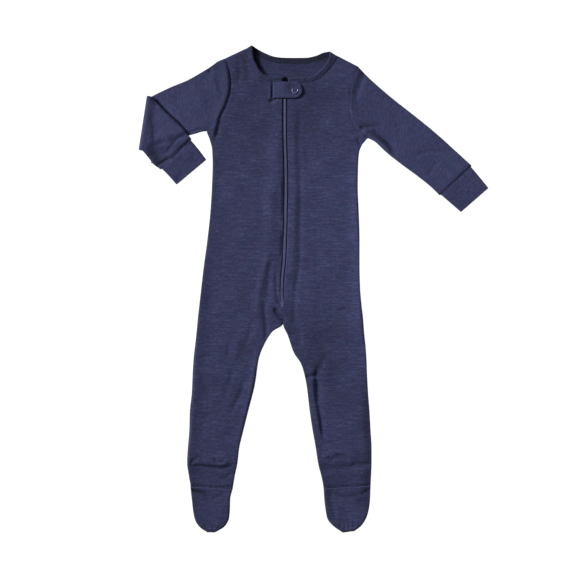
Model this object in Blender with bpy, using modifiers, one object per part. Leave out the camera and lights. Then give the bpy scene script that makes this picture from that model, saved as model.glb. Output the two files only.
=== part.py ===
# A baby's footed onesie pajama, laid flat on its back with its right sleeve folded over at the elbow.
#
# The tables are in millimetres: x runs to the wearer's left from the top of the zip, "down" runs from the
# higher shoulder to the toes, and z runs up from the surface that the garment lies on. The pieces are worked
# out with both sleeves straight, and then the right sleeve and its cuff are folded over.
# Right and left are the wearer's: the right side is at -X.

from types import SimpleNamespace

import bmesh
import bpy
import numpy as np

MM = 0.001
CLOTH = 1.2  # one ply of the knit
GAP = 0.3  # between pieces that meet at a seam or lie on each other
UPPER_LAYER = CLOTH + GAP  # underside of the front where it is closed against the back
PLIES = UPPER_LAYER + CLOTH  # back and front lying flat on each other

BINDING_THICKNESS = 1.8
CUFF_LOFT = 0.3  # a rib cuff is a little fuller than the sleeve
LOFT_REACH = 8  # and gains that within this of its edges
ZIP_TAPE = SimpleNamespace(half_width=12, thickness=1.0, slack=0.2, top=47, end=379)
ZIP_COIL = SimpleNamespace(half_width=2.0, thickness=1.0, rounding=0.4, top=55, end=346)
ZIP_SLIDER = SimpleNamespace(x=0.0, top=44.5, length=9.5, width=6.0, rise=0.9)
GUARD = SimpleNamespace(left=-17.1, right=23.8, top=53.2, bottom=74.0, thickness=1.6, rise=2.3)
SNAP = SimpleNamespace(x=14.0, down=63.4, radius=4.6, wire=0.55)
HEEL = SimpleNamespace(sides=590, arch=20, clear=4)  # where the back of the leg meets the sole
FOLD_HEIGHT = 4.5  # axis of the folded elbow, over the surface below
DRAPE = 16  # the forearm reaches the surface this far past the upper arm
SETTLE = 14  # and from the height of the turn comes down onto the upper arm within this
UPPER_ARM_ROUNDING = 10  # the upper arm has its full height this far in from its low edge

ARMHOLE_GAP = 0.5  # a little more than GAP, as the two sides of a round seam have unlike corners
PARTS = 2  # each span of a smooth curve is made of this many straight ones
ARMHOLE_FADE = 0.45  # the armhole's curve has gone from a sleeve's rows by this share of its length

# Columns of the grids, as shares of the way across, closer together towards the edges.
PANEL_SHARES = np.array([0, 0.012, 0.04, 0.1, 0.2, 0.33, 0.5, 0.67, 0.8, 0.9, 0.96, 0.988, 1])
TUBE_SHARES = np.array([0, 0.012, 0.03, 0.09, 0.2, 0.35, 0.5, 0.65, 0.8, 0.91, 0.97, 0.988, 1])
BINDING_SHARES = np.array([0, 0.15, 0.5, 0.85, 1])

NAVY = (0.037, 0.041, 0.100)
NAVY_RIB = (0.030, 0.034, 0.085)
NAVY_TAPE = (0.026, 0.029, 0.070)
DARK_METAL = (0.020, 0.020, 0.028)
PEARL = (0.42, 0.43, 0.50)


def table(names, *rows):
    """A table of numbers as one array for each named column."""
    return SimpleNamespace(**dict(zip(names.split(), np.array(rows, dtype=float).T)))


# Each front, from the shoulder seam to the ankle seam. A row runs from the outer edge (armhole, then side) to
# the inner one (neck seam, then zip, then inside leg).
PANEL_COLUMNS = "outer_x outer_down inner_x inner_down"
FRONT_RIGHT = table(
    PANEL_COLUMNS,
    (-83.3, 17.9, -55.0, 4.6),
    (-80.0, 29.4, -50.6, 19.4),
    (-77.2, 42.0, -46.2, 30.8),
    (-76.2, 53.2, -40.6, 39.9),
    (-77.0, 64.4, -32.9, 46.9),
    (-80.5, 77.0, -22.4, 50.8),
    (-86.8, 92.4, -3.7, 51.8),
    (-95.5, 107.5, -3.7, 71.4),
    (-109.2, 119.6, -3.7, 92.4),
    (-105.7, 130.2, -3.6, 112.0),
    (-101.9, 145.6, -3.2, 134.4),
    (-101.1, 166.6, -2.8, 159.6),
    (-102.2, 198.8, -2.4, 196.0),
    (-104.3, 232.4, -2.5, 232.4),
    (-108.5, 271.6, -3.4, 271.6),
    (-113.4, 308.0, -6.0, 305.2),
    (-116.9, 337.4, -7.9, 327.6),
    (-119.7, 362.6, -7.6, 348.0),
    (-121.8, 380.8, -3.2, 366.8),
    (-123.2, 396.2, -2.9, 388.5),
    (-125.3, 415.8, -18.2, 399.7),
    (-127.4, 434.0, -29.4, 417.2),
    (-128.8, 453.6, -37.1, 436.8),
    (-130.2, 484.4, -42.7, 473.2),
    (-133.0, 512.4, -51.8, 509.6),
    (-133.7, 537.6, -58.8, 537.6),
    (-135.8, 562.8, -64.7, 562.8),
    (-136.8, 582.4, -67.2, 583.8),
    (-134.4, 600.6, -71.0, 602.0),
    (-131.6, 616.0, -73.8, 619.5),
)
FRONT_LEFT = table(
    PANEL_COLUMNS,
    (102.2, 29.6, 73.4, 14.6),
    (96.6, 42.0, 69.6, 23.4),
    (93.1, 56.0, 63.9, 30.6),
    (91.0, 70.0, 57.0, 38.8),
    (90.4, 82.6, 47.8, 46.2),
    (91.0, 95.2, 34.0, 51.6),
    (93.8, 107.8, 3.6, 52.9),
    (100.8, 119.7, 3.5, 72.8),
    (114.8, 128.8, 3.3, 92.4),
    (107.8, 138.6, 3.1, 114.8),
    (103.6, 149.8, 3.2, 134.4),
    (101.6, 168.0, 3.7, 159.6),
    (101.1, 198.8, 4.4, 196.0),
    (102.5, 232.4, 3.8, 232.4),
    (103.6, 271.6, 2.7, 271.6),
    (103.6, 308.0, 0.2, 305.2),
    (104.4, 338.8, -2.0, 327.6),
    (106.4, 362.6, -2.4, 348.0),
    (108.5, 380.8, -2.9, 366.8),
    (110.0, 400.4, -2.6, 388.5),
    (112.0, 420.0, 4.9, 406.0),
    (113.4, 439.6, 12.6, 428.4),
    (114.1, 459.2, 23.8, 446.6),
    (115.5, 484.4, 30.5, 473.2),
    (117.6, 512.4, 35.0, 509.6),
    (119.0, 537.6, 39.2, 537.6),
    (120.4, 562.8, 43.7, 562.8),
    (120.4, 582.4, 46.9, 583.8),
    (119.7, 600.6, 51.5, 602.0),
    (119.0, 614.6, 55.0, 618.8),
)
NECK_ROWS = 7  # rows 0 to 6 end at the neck seam
ARMHOLE_ROWS = 9  # rows 0 to 8 start at the armhole
CROTCH_ROW = 19  # from here down the inner edge is closed too

# The free edge of the neck binding, a row for each row of the front at the neck seam.
BINDING_RIGHT = table(
    "free_x free_down",
    (-46.2, -0.7), (-43.8, 17.0), (-39.6, 26.8), (-34.6, 36.0), (-28.4, 40.9), (-19.6, 43.2), (-4.6, 43.6),
)
BINDING_LEFT = table(
    "free_x free_down",
    (62.3, 8.0), (61.6, 16.8), (57.2, 25.2), (50.6, 33.3), (42.8, 40.0), (32.0, 44.6), (4.9, 45.6),
)
BINDING_BACK = table(
    "free_x free_down seam_x seam_down",
    (-46.2, -0.4, -54.8, 4.9),
    (-39.5, 4.2, -45.0, 10.6),
    (-27.0, 10.9, -31.2, 18.6),
    (-14.6, 15.4, -17.0, 23.8),
    (-2.0, 16.9, -2.0, 25.6),
    (13.6, 17.1, 13.6, 25.8),
    (29.3, 16.9, 29.3, 25.6),
    (41.7, 14.7, 44.2, 23.2),
    (54.3, 9.7, 59.4, 17.6),
    (62.3, 8.2, 73.2, 14.8),
)

# Foot uppers, from the ankle seam to the toe.
FOOT_RIGHT = table(
    PANEL_COLUMNS,
    (-131.5, 616.6, -73.9, 620.1),
    (-130.2, 634.2, -77.0, 634.2),
    (-128.5, 649.6, -78.0, 648.2),
    (-123.9, 662.9, -80.5, 660.8),
    (-117.6, 672.0, -86.8, 670.6),
    (-109.2, 678.6, -95.9, 677.8),
)
FOOT_LEFT = table(
    PANEL_COLUMNS,
    (119.0, 615.2, 55.1, 619.4),
    (118.3, 632.8, 56.0, 634.2),
    (117.6, 645.4, 57.8, 646.8),
    (115.5, 658.0, 61.6, 660.8),
    (108.5, 669.9, 67.9, 670.6),
    (98.0, 677.8, 77.0, 677.8),
)

# Sleeves from the armhole to the cuff seam and cuffs from there to the hand: the upper edge, then the edge at
# the armpit's side. Rows past the elbow of the right sleeve are where they lie after folding.
SLEEVE_COLUMNS = "top_x top_down low_x low_down"
SLEEVE_LEFT = table(
    SLEEVE_COLUMNS,
    (102.2, 29.6, 114.8, 128.8),
    (119.0, 47.0, 124.0, 133.2),
    (148.4, 72.8, 141.4, 149.1),
    (180.6, 98.0, 162.4, 165.9),
    (211.4, 123.2, 186.2, 183.4),
    (239.4, 148.4, 204.4, 198.1),
    (260.8, 168.0, 216.2, 209.6),
)
CUFF_LEFT = table(
    SLEEVE_COLUMNS,
    (272.3, 184.4, 232.4, 221.2),
    (284.2, 199.2, 245.7, 232.8),
)
SLEEVE_RIGHT = table(
    SLEEVE_COLUMNS,
    (-83.3, 17.9, -109.2, 119.6),
    (-106.4, 30.8, -126.0, 123.4),
    (-135.8, 47.6, -149.8, 130.2),
    (-161.0, 60.2, -175.0, 137.9),
    (-186.9, 73.5, -198.4, 145.6),
)
FOREARM_RIGHT = table(
    SLEEVE_COLUMNS,
    (-168.0, 91.0, -188.0, 155.4),
    (-149.8, 107.8, -182.0, 163.4),
    (-130.4, 130.9, -172.3, 171.0),
)
CUFF_RIGHT = table(
    SLEEVE_COLUMNS,
    (-120.4, 145.6, -161.3, 181.0),
    (-109.9, 159.6, -151.2, 192.8),
)
CUFF_INSET = 1.8  # a cuff is narrower than its sleeve by this at each edge

# How far the front stands off the back, by level, and how far in from a closed edge it has reached that.
FULLNESS = table(
    "down height reach",
    (0, 2.0, 10),
    (60, 2.3, 12),
    (300, 2.3, 13),
    (500, 2.6, 14),
    (600, 3.2, 16),
    (690, 3.6, 18),
)
SLEEVE = SimpleNamespace(height=1.5, starts=90, blend=40, lowest=250)  # starts: this far from the middle

# The largest folds: ridges stand up, troughs (negative) sink towards the back.
FOLD_END = 0.3  # share of its length over which a fold fades in and out
FOLD_START = 0.2  # its height at its very ends
FOLDS = table(
    "x1 down1 x2 down2 width height",
    (15.0, 98, 19.5, 275, 8, -1.0),
    (19.0, 250, 11.5, 378, 8, -1.1),
    (-20.0, 84, -28.0, 290, 12, 0.8),
    (-30.0, 268, -42.0, 368, 11, 0.9),
    (-21.0, 298, -31.0, 420, 8, -1.5),
    (-48.0, 386, -57.0, 430, 9, -1.1),
    (-72.0, 404, -86.0, 442, 9, -1.2),
    (-61.0, 462, -78.0, 514, 11, -1.6),
    (38.0, 452, 53.0, 560, 8, 1.3),
    (33.0, 455, 45.0, 552, 6, -1.4),
    (76.0, 364, 103.0, 380, 8, -1.0),
    (-132.0, 584, -74.0, 584, 7, -1.2),
    (52.0, 580, 118.0, 584, 7, -1.2),
    (127.0, 122, 153.0, 148, 7, -1.3),
    (-60.0, 12, -70.0, 44, 8, -0.9),
    (-88.0, 94, -74.0, 112, 9, -0.9),
)


def smooth_through(knots, values, at):
    """Reads a smooth curve through the values at the knots, which doesn't swing past any of them."""
    steps = np.diff(knots)
    slopes = np.diff(values) / steps
    tangents = np.concatenate([slopes[:1], np.zeros(len(knots) - 2), slopes[-1:]])
    one_way = slopes[:-1] * slopes[1:] > 0
    before, after = slopes[:-1][one_way], slopes[1:][one_way]
    tangents[1:-1][one_way] = 2 * before * after / (before + after)
    span = np.clip(np.searchsorted(knots, at, side="right") - 1, 0, len(steps) - 1)
    t = (at - knots[span]) / steps[span]
    rise = values[span + 1] - values[span]
    return (
        values[span]
        + rise * t * t * (3 - 2 * t)
        + steps[span] * t * (1 - t) * (tangents[span] * (1 - t) - tangents[span + 1] * t)
    )


def curve(x, down):
    """Plan points on a smooth curve through the given ones."""
    knots = np.arange(len(x))
    at = np.linspace(0, len(x) - 1, (len(x) - 1) * PARTS + 1)
    return np.stack([smooth_through(knots, x, at), smooth_through(knots, down, at)], axis=-1)


def beside(line, distance):
    """A plan line moved sideways; one that runs towards +x moves down."""
    ahead = np.gradient(line, axis=0)
    ahead /= np.linalg.norm(ahead, axis=1, keepdims=True)
    return line + distance * np.stack([-ahead[:, 1], ahead[:, 0]], axis=-1)


def along_line(line, shares):
    """Points at shares of a plan line's length."""
    length = np.concatenate([[0], np.cumsum(np.linalg.norm(np.diff(line, axis=0), axis=1))])
    at = np.asarray(shares) * length[-1]
    return np.stack([np.interp(at, length, line[:, 0]), np.interp(at, length, line[:, 1])], axis=-1)


def distance_to(points, lines):
    """Distance from each plan point to the nearest of some plan lines."""
    nearest = np.full(len(points), np.inf)
    for line in lines:
        for start, end in zip(line[:-1], line[1:]):
            run = end - start
            share = np.clip((points - start) @ run / (run @ run), 0, 1)
            nearest = np.minimum(nearest, np.linalg.norm(points - start - share[:, None] * run, axis=1))
    return nearest


def ease(t):
    """Smooth step from 0 to 1."""
    t = np.clip(t, 0, 1)
    return t * t * (3 - 2 * t)


# The folded elbow: the crease is the last row of the upper arm.
CREASE_TOP = np.array([SLEEVE_RIGHT.top_x[-1], SLEEVE_RIGHT.top_down[-1]])
CREASE_LOW = np.array([SLEEVE_RIGHT.low_x[-1], SLEEVE_RIGHT.low_down[-1]])
CREASE_ALONG = (CREASE_LOW - CREASE_TOP) / np.linalg.norm(CREASE_LOW - CREASE_TOP)
CREASE_OUT = np.array([-CREASE_ALONG[1], CREASE_ALONG[0]])
TURN_LENGTH = np.pi * (FOLD_HEIGHT - PLIES / 2)  # cloth taken up by the turn, at mid thickness
ARMPIT = np.array([SLEEVE_RIGHT.low_x[0], SLEEVE_RIGHT.low_down[0]])


def unfolded(points):
    """Where plan points of the folded forearm lie once the sleeve is straight."""
    out = (points - CREASE_TOP) @ CREASE_OUT
    return points + np.outer(TURN_LENGTH - 2 * out, CREASE_OUT)


def edges_of(rows):
    """The two edges of a table of sleeve or cuff rows, point by point."""
    return np.stack([rows.top_x, rows.top_down], axis=-1), np.stack([rows.low_x, rows.low_down], axis=-1)


def straight_right_sleeve():
    """The two edges of the right sleeve, crease included, with the forearm laid out straight."""
    upper, forearm = edges_of(SLEEVE_RIGHT), edges_of(FOREARM_RIGHT)
    turned = np.linspace(0, TURN_LENGTH, 7)[1:, None] * CREASE_OUT
    return [np.concatenate([edge, edge[-1] + turned, unfolded(fore)]) for edge, fore in zip(upper, forearm)]


def with_cuff_seam(cuff, sleeve):
    """A cuff's two edges, started at the end of the sleeve's."""
    top, low = sleeve[0][-1], sleeve[1][-1]
    across = (low - top) / np.linalg.norm(low - top)
    ahead = np.array([across[1], -across[0]])
    ahead *= np.sign((cuff[0][0] - top) @ ahead)
    starts = top + across * CUFF_INSET + ahead * GAP, low - across * CUFF_INSET + ahead * GAP
    return [np.concatenate([[start], edge]) for start, edge in zip(starts, cuff)]


def sleeves_and_cuffs():
    """The two edges of both sleeves and cuffs, all laid out straight."""
    sleeves = {"left": edges_of(SLEEVE_LEFT), "right": straight_right_sleeve()}
    right_cuff = [unfolded(edge) for edge in edges_of(CUFF_RIGHT)]
    cuffs = {
        "left": with_cuff_seam(edges_of(CUFF_LEFT), sleeves["left"]),
        "right": with_cuff_seam(right_cuff, sleeves["right"]),
    }
    return sleeves, cuffs


SLEEVES, CUFFS = sleeves_and_cuffs()


def closed_edges():
    """The plan lines along which front and back are joined."""
    lines = []
    for front, foot, binding in (
        (FRONT_RIGHT, FOOT_RIGHT, BINDING_RIGHT),
        (FRONT_LEFT, FOOT_LEFT, BINDING_LEFT),
    ):
        shoulder_x = [front.outer_x[0], front.inner_x[0], binding.free_x[0]]
        shoulder_down = [front.outer_down[0], front.inner_down[0], binding.free_down[0]]
        lines.append(np.stack([shoulder_x, shoulder_down], axis=-1))
        side = ARMHOLE_ROWS - 1
        lines.append(curve(front.outer_x[side:], front.outer_down[side:]))
        lines.append(curve(front.inner_x[CROTCH_ROW:], front.inner_down[CROTCH_ROW:]))
        toe_x = np.concatenate([foot.outer_x, foot.inner_x[::-1]])
        toe_down = np.concatenate([foot.outer_down, foot.inner_down[::-1]])
        lines.append(curve(toe_x, toe_down))
    for edges in (*SLEEVES.values(), *CUFFS.values()):
        lines += edges
    return lines


CLOSED_EDGES = closed_edges()


def lift(plan):
    """How far the front is raised off the back at plan points (any grid of x, down)."""
    points = plan.reshape(-1, 2)
    x, down = points.T
    on_sleeve = ease((np.abs(x) - SLEEVE.starts) / SLEEVE.blend) * (down < SLEEVE.lowest)
    height = np.interp(down, FULLNESS.down, FULLNESS.height) * (1 - on_sleeve) + SLEEVE.height * on_sleeve
    reach = np.interp(down, FULLNESS.down, FULLNESS.reach)
    inside = np.minimum(distance_to(points, CLOSED_EDGES) / reach, 1)
    rounding = np.sqrt(1 - (1 - inside) ** 2)
    raised = height * rounding
    for x1, down1, x2, down2, width, fold in zip(*vars(FOLDS).values()):
        start, run = np.array([x1, down1]), np.array([x2 - x1, down2 - down1])
        share = (points - start) @ run / (run @ run)
        off = distance_to(points, [np.array([start, start + run])])
        fade = ease(share / FOLD_END + FOLD_START) * ease((1 - share) / FOLD_END + FOLD_START)
        raised += fold * rounding * fade * np.exp(-((2 * off / width) ** 2))
    return np.maximum(raised, 0).reshape(plan.shape[:-1])


def folded_over(points):
    """Folds points (x, down, z) of the straight right sleeve over its crease and drapes the forearm."""
    plan, z = points[..., :2], points[..., 2]
    out = (plan - CREASE_TOP) @ CREASE_OUT
    angle = np.clip(out * np.pi / TURN_LENGTH, 0, np.pi)
    radius = FOLD_HEIGHT - z
    past = np.maximum(out - TURN_LENGTH, 0)
    new_out = np.where(out > 0, radius * np.sin(angle) - past, out)
    new_z = np.where(out > 0, FOLD_HEIGHT - radius * np.cos(angle), z)
    plan_now = plan + (new_out - out)[..., None] * CREASE_OUT
    low_edge = (CREASE_LOW - ARMPIT) / np.linalg.norm(CREASE_LOW - ARMPIT)
    beyond = (plan_now - ARMPIT) @ np.array([low_edge[1], -low_edge[0]])
    below = PLIES * (1 - ease(beyond / DRAPE)) + lift(plan_now) * ease(-beyond / UPPER_ARM_ROUNDING)
    settled = below + GAP + PLIES + lift(plan) - 2 * FOLD_HEIGHT
    new_z = new_z + settled * ease(past / SETTLE)
    return np.concatenate([plan_now, new_z[..., None]], axis=-1)


def make_material(name, colour, roughness, metallic=0.0):
    """A plain surface finish."""
    material = bpy.data.materials.new(name)
    material.use_nodes = True
    shader = material.node_tree.nodes["Principled BSDF"]
    shader.inputs["Base Color"].default_value = (*colour, 1)
    shader.inputs["Roughness"].default_value = roughness
    shader.inputs["Metallic"].default_value = metallic
    return material


def add_object(name, mesh, colour, roughness=0.9, metallic=0.0):
    """Puts a mesh in the garment's collection under its own name and finish."""
    mesh.materials.append(make_material(name, colour, roughness, metallic))
    piece = bpy.data.objects.new(name, mesh)
    garment.objects.link(piece)
    piece.parent = origin
    return piece


def row_frame(points):
    """Turns (x, down, z) in millimetres into metres with +Y towards the head."""
    return np.stack([points[..., 0], -points[..., 1], points[..., 2]], axis=-1) * MM


def grid_mesh(name, points):
    """An open surface over a grid of points."""
    rows, columns = points.shape[:2]
    mesh = bpy.data.meshes.new(name)
    at = np.arange(rows * columns).reshape(rows, columns)
    corners = [at[:-1, :-1], at[1:, :-1], at[1:, 1:], at[:-1, 1:]]
    faces = np.stack(corners, axis=-1).reshape(-1, 4)
    mesh.from_pydata(row_frame(points).reshape(-1, 3).tolist(), [], faces.tolist())
    return mesh


def add_panel(name, plan, underside, thickness, colour=NAVY):
    """A ply of cloth over a grid of plan points, given the height of its underside."""
    points = np.concatenate([plan, (underside + thickness)[..., None]], axis=-1)
    mesh = grid_mesh(name, points)
    work = bmesh.new()
    work.from_mesh(mesh)
    work.normal_update()
    if sum(face.normal.z for face in work.faces) < 0:
        bmesh.ops.reverse_faces(work, faces=work.faces)
    work.to_mesh(mesh)
    work.free()
    mesh.shade_smooth()
    panel = add_object(name, mesh, colour)
    ply = panel.modifiers.new("ply", "SOLIDIFY")
    ply.thickness = thickness * MM
    ply.offset = -1
    return panel


def add_flat_piece(name, outline, thickness, colour=NAVY):
    """A piece that lies flat on the surface, from its outline in plan."""
    flat = np.concatenate([outline, np.zeros((len(outline), 1))], axis=-1)
    mesh = bpy.data.meshes.new(name)
    work = bmesh.new()
    corners = [work.verts.new(point) for point in row_frame(flat)]
    face = work.faces.new(corners)
    face.normal_update()
    if face.normal.z > 0:
        face.normal_flip()
    bmesh.ops.triangulate(work, faces=[face])
    work.to_mesh(mesh)
    work.free()
    piece = add_object(name, mesh, colour)
    ply = piece.modifiers.new("ply", "SOLIDIFY")
    ply.thickness = thickness * MM
    ply.offset = -1
    return piece


def add_flattened_tube(name, plan, loft=0.0, colour=NAVY, shape=None):
    """A tube of cloth pressed flat, over a grid whose rows run from its one folded edge to the other."""
    shares = TUBE_SHARES
    middle = PLIES / 2
    outer_rows, inner_rows = [], []
    for row in plan:
        width = np.linalg.norm(np.diff(row, axis=0), axis=1).sum()
        inner_row = along_line(row, (CLOTH + shares * (width - 2 * CLOTH)) / width)
        from_edge = np.minimum(shares, 1 - shares) * width
        round_off = middle * (1 - np.sqrt(1 - (1 - np.minimum(from_edge / middle, 1)) ** 2))
        fuller = loft * ease(from_edge / LOFT_REACH)
        top = PLIES - round_off + lift(row) + fuller
        bottom = round_off
        top[[0, -1]] = bottom[[0, -1]] = middle
        inner_top = UPPER_LAYER + lift(inner_row) + fuller
        inner_bottom = np.full(len(shares), CLOTH)
        inner_top[[0, -1]] = inner_bottom[[0, -1]] = middle
        for rows, line, over, under in (
            (outer_rows, row, top, bottom),
            (inner_rows, inner_row, inner_top, inner_bottom),
        ):
            upper = np.concatenate([line, over[:, None]], axis=-1)
            lower = np.concatenate([line, under[:, None]], axis=-1)[-2:0:-1]
            rows.append(np.concatenate([upper, lower]))
    points = np.array([outer_rows, inner_rows])
    if shape:
        points = shape(points)
    work = bmesh.new()
    corners = [[[work.verts.new(point) for point in ring] for ring in wall] for wall in row_frame(points)]
    around = range(len(corners[0][0]))
    for wall in corners:
        for ring, following in zip(wall[:-1], wall[1:]):
            for i in around:
                work.faces.new((ring[i - 1], ring[i], following[i], following[i - 1]))
    for end in (0, -1):
        outer, inner = corners[0][end], corners[1][end]
        for i in around:
            work.faces.new((outer[i - 1], outer[i], inner[i], inner[i - 1]))
    bmesh.ops.recalc_face_normals(work, faces=work.faces)
    mesh = bpy.data.meshes.new(name)
    work.to_mesh(mesh)
    work.free()
    mesh.shade_smooth()
    return add_object(name, mesh, colour)


def between(outer, inner, shares):
    """A grid of plan points, from each point of the outer line straight to the inner one."""
    return outer[:, None] * (1 - shares[:, None]) + inner[:, None] * shares[:, None]


def panel_edges(rows):
    """The outer and inner edges of a table of panel rows as smooth plan lines."""
    return curve(rows.outer_x, rows.outer_down), curve(rows.inner_x, rows.inner_down)


def free_edge(binding):
    """The free edge of a table of binding rows."""
    return curve(binding.free_x, binding.free_down)


def neck_seam(front):
    """The front's edge at the neck seam."""
    return panel_edges(front)[1][: PARTS * (NECK_ROWS - 1) + 1]


def armhole(front):
    """The front's edge at the armhole, from the shoulder to the armpit."""
    return panel_edges(front)[0][: PARTS * (ARMHOLE_ROWS - 1) + 1]


def inside_leg(front):
    """The front's inner edge from the crotch to the ankle."""
    return panel_edges(front)[1][PARTS * CROTCH_ROW:]


def sleeve_plan(edges, front, outward):
    """Plan grid of a straight sleeve: the first row follows the armhole, the next ones straighten out."""
    top, low = (curve(*edge.T) for edge in edges)
    seam = along_line(beside(armhole(front), outward * ARMHOLE_GAP), TUBE_SHARES)
    top[0], low[0] = seam[0], seam[-1]
    bow = seam - between(top[:1], low[:1], TUBE_SHARES)[0]
    fade = np.clip(1 - np.linspace(0, 1, len(top)) / ARMHOLE_FADE, 0, 1) ** 1.5
    return between(top, low, TUBE_SHARES) + fade[:, None, None] * bow


def point_at_down(line, down):
    """Where a plan line that runs downwards crosses a level."""
    return np.array([np.interp(down, line[:, 1], line[:, 0]), down])


def heel_seam(front, shift):
    """The arched seam between the back of the leg and the sole, from the outer edge to the inner one."""
    edges = panel_edges(front)[0], inside_leg(front)
    start, end = (point_at_down(edge[edge[:, 1] > 400], HEEL.sides + shift) for edge in edges)
    share = np.linspace(0, 1, 13)
    seam = between(start[None], end[None], share)[0]
    seam[:, 1] -= HEEL.arch * np.sin(np.pi * share)
    return seam


def cut(line, low, high):
    """The points of a plan line that lie between two levels."""
    return line[(line[:, 1] > low) & (line[:, 1] < high)]


def build_back():
    """The back: both legs and the seat in one piece, down to the heels."""
    outlines = []
    for front in (FRONT_RIGHT, FRONT_LEFT):
        outer = cut(panel_edges(front)[0], 0, HEEL.sides - HEEL.clear)
        leg = cut(inside_leg(front), 0, HEEL.sides - HEEL.clear)
        outlines.append((outer, heel_seam(front, 0), leg[::-1]))
    neck = beside(curve(BINDING_BACK.seam_x, BINDING_BACK.seam_down), GAP)
    right = np.concatenate(outlines[0])
    left = np.concatenate(outlines[1])
    add_flat_piece("back_panel", np.concatenate([right, left[::-1][1:], neck[::-1][1:-1]]), CLOTH)


def build_front(side, front):
    """One front, from the shoulder to the ankle seam."""
    outer, inner = panel_edges(front)
    plan = between(outer, inner, PANEL_SHARES)
    add_panel(f"front_panel_{side}", plan, UPPER_LAYER + lift(plan), CLOTH)


def build_binding(side, front, binding, outward):
    """The folded strip that finishes one side of the front neck, butted against the neck seam."""
    seam = beside(neck_seam(front), outward * GAP)
    plan = between(seam, free_edge(binding), BINDING_SHARES)
    add_panel(f"neck_binding_{side}", plan, UPPER_LAYER + lift(plan), BINDING_THICKNESS, NAVY_RIB)


def build_back_binding():
    """The strip across the back of the neck, lying flat under the front's shoulders."""
    seam = curve(BINDING_BACK.seam_x, BINDING_BACK.seam_down)
    outline = np.concatenate([free_edge(BINDING_BACK), seam[::-1]])
    add_flat_piece("neck_binding_back", outline, CLOTH, NAVY_RIB)


def build_foot(side, front, foot):
    """A foot upper from the ankle seam to the toe, and the sole under it from the heel seam to the toe."""
    outer, inner = panel_edges(foot)
    plan = between(outer, inner, PANEL_SHARES)
    add_panel(f"foot_upper_{side}", plan, UPPER_LAYER + lift(plan), CLOTH)
    ankle = foot.outer_down[0] - 2
    outline = [
        heel_seam(front, GAP),
        cut(inside_leg(front), HEEL.sides + HEEL.clear, ankle),
        inner,
        outer[::-1],
        cut(panel_edges(front)[0], HEEL.sides + HEEL.clear, ankle)[::-1],
    ]
    add_flat_piece(f"sole_{side}", np.concatenate(outline), CLOTH)


def build_sleeves():
    """The left sleeve lies straight; the right one is folded at the elbow with its forearm on top."""
    add_flattened_tube("sleeve_left", sleeve_plan(SLEEVES["left"], FRONT_LEFT, -1))
    add_flattened_tube("sleeve_right", sleeve_plan(SLEEVES["right"], FRONT_RIGHT, 1), shape=folded_over)


def build_cuffs():
    """Rib cuffs, butted against the sleeves."""
    for side, shape in (("left", None), ("right", folded_over)):
        top, low = (curve(*edge.T) for edge in CUFFS[side])
        plan = between(top, low, TUBE_SHARES)
        add_flattened_tube(f"cuff_{side}", plan, loft=CUFF_LOFT, colour=NAVY_RIB, shape=shape)


def zip_middle(down):
    """x of the middle of the zip, between the edges of the fronts."""
    right = curve(FRONT_RIGHT.inner_x[NECK_ROWS - 1:], FRONT_RIGHT.inner_down[NECK_ROWS - 1:])
    left = curve(FRONT_LEFT.inner_x[NECK_ROWS - 1:], FRONT_LEFT.inner_down[NECK_ROWS - 1:])
    return (np.interp(down, right[:, 1], right[:, 0]) + np.interp(down, left[:, 1], left[:, 0])) / 2


def along_zip(part, across, step):
    """Plan grid of a strip that follows the zip."""
    down = np.linspace(part.top, part.end, round((part.end - part.top) / step) + 1)
    x = zip_middle(down)[:, None] + part.half_width * across
    return np.stack([x, np.repeat(down[:, None], len(across), axis=1)], axis=-1)


def face_of_fronts(plan):
    """Height of the outer face of the fronts at plan points."""
    return PLIES + lift(plan)


def build_zip():
    """The zip's tape lies under the fronts, and its coil shows between their edges."""
    tape = along_zip(ZIP_TAPE, np.array([-1, -0.6, -0.2, 0.2, 0.6, 1]), step=9)
    under_fronts = UPPER_LAYER + lift(tape) - GAP - ZIP_TAPE.slack
    add_panel("zip_tape", tape, under_fronts - ZIP_TAPE.thickness, ZIP_TAPE.thickness, NAVY_TAPE)
    coil = along_zip(ZIP_COIL, np.array([-1, -0.6, 0, 0.6, 1]), step=8)
    rounded = ZIP_COIL.rounding * np.array([-1, -0.3, 0, -0.3, -1])
    underside = UPPER_LAYER + lift(coil) + rounded + ZIP_COIL.rounding
    add_panel("zip_coil", coil, underside, ZIP_COIL.thickness, NAVY_TAPE)


def add_block(work, low, high, bevel):
    """Adds a box with rounded edges between two corners (x, down, z) to a bmesh."""
    low, high = (row_frame(np.array(corner)) for corner in (low, high))
    box = bmesh.ops.create_cube(work, size=1)["verts"]
    for corner in box:
        corner.co = [(a + b) / 2 + (b - a) * c for a, b, c in zip(low, high, corner.co)]
    edges = list({edge for corner in box for edge in corner.link_edges})
    bmesh.ops.bevel(work, geom=edges, offset=bevel * MM, segments=2, profile=0.5, affect="EDGES")


def build_slider():
    """The zip's slider at the end of its run, a plate over the coil that lies between the binding's ends."""
    s = ZIP_SLIDER
    middle = np.array([[s.x, s.top + s.length / 2]])
    face = face_of_fronts(middle)[0]
    bottom = UPPER_LAYER + lift(middle)[0] + ZIP_COIL.rounding
    work = bmesh.new()
    low = (s.x - s.width / 2, s.top + s.length, bottom)
    high = (s.x + s.width / 2, s.top, face + s.rise)
    add_block(work, low, high, bevel=0.7)
    bmesh.ops.recalc_face_normals(work, faces=work.faces)
    mesh = bpy.data.meshes.new("zip_slider")
    work.to_mesh(mesh)
    work.free()
    add_object("zip_slider", mesh, DARK_METAL, roughness=0.4, metallic=0.9)


def guard_face(plan):
    """Height of the underside of the guard tab: on the fronts, and over the slider."""
    over_slider = np.exp(-(((plan[..., 0] - ZIP_SLIDER.x) / 9) ** 2) - ((plan[..., 1] - GUARD.top) / 12) ** 2)
    return face_of_fronts(plan) + GAP + GUARD.rise * over_slider


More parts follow.
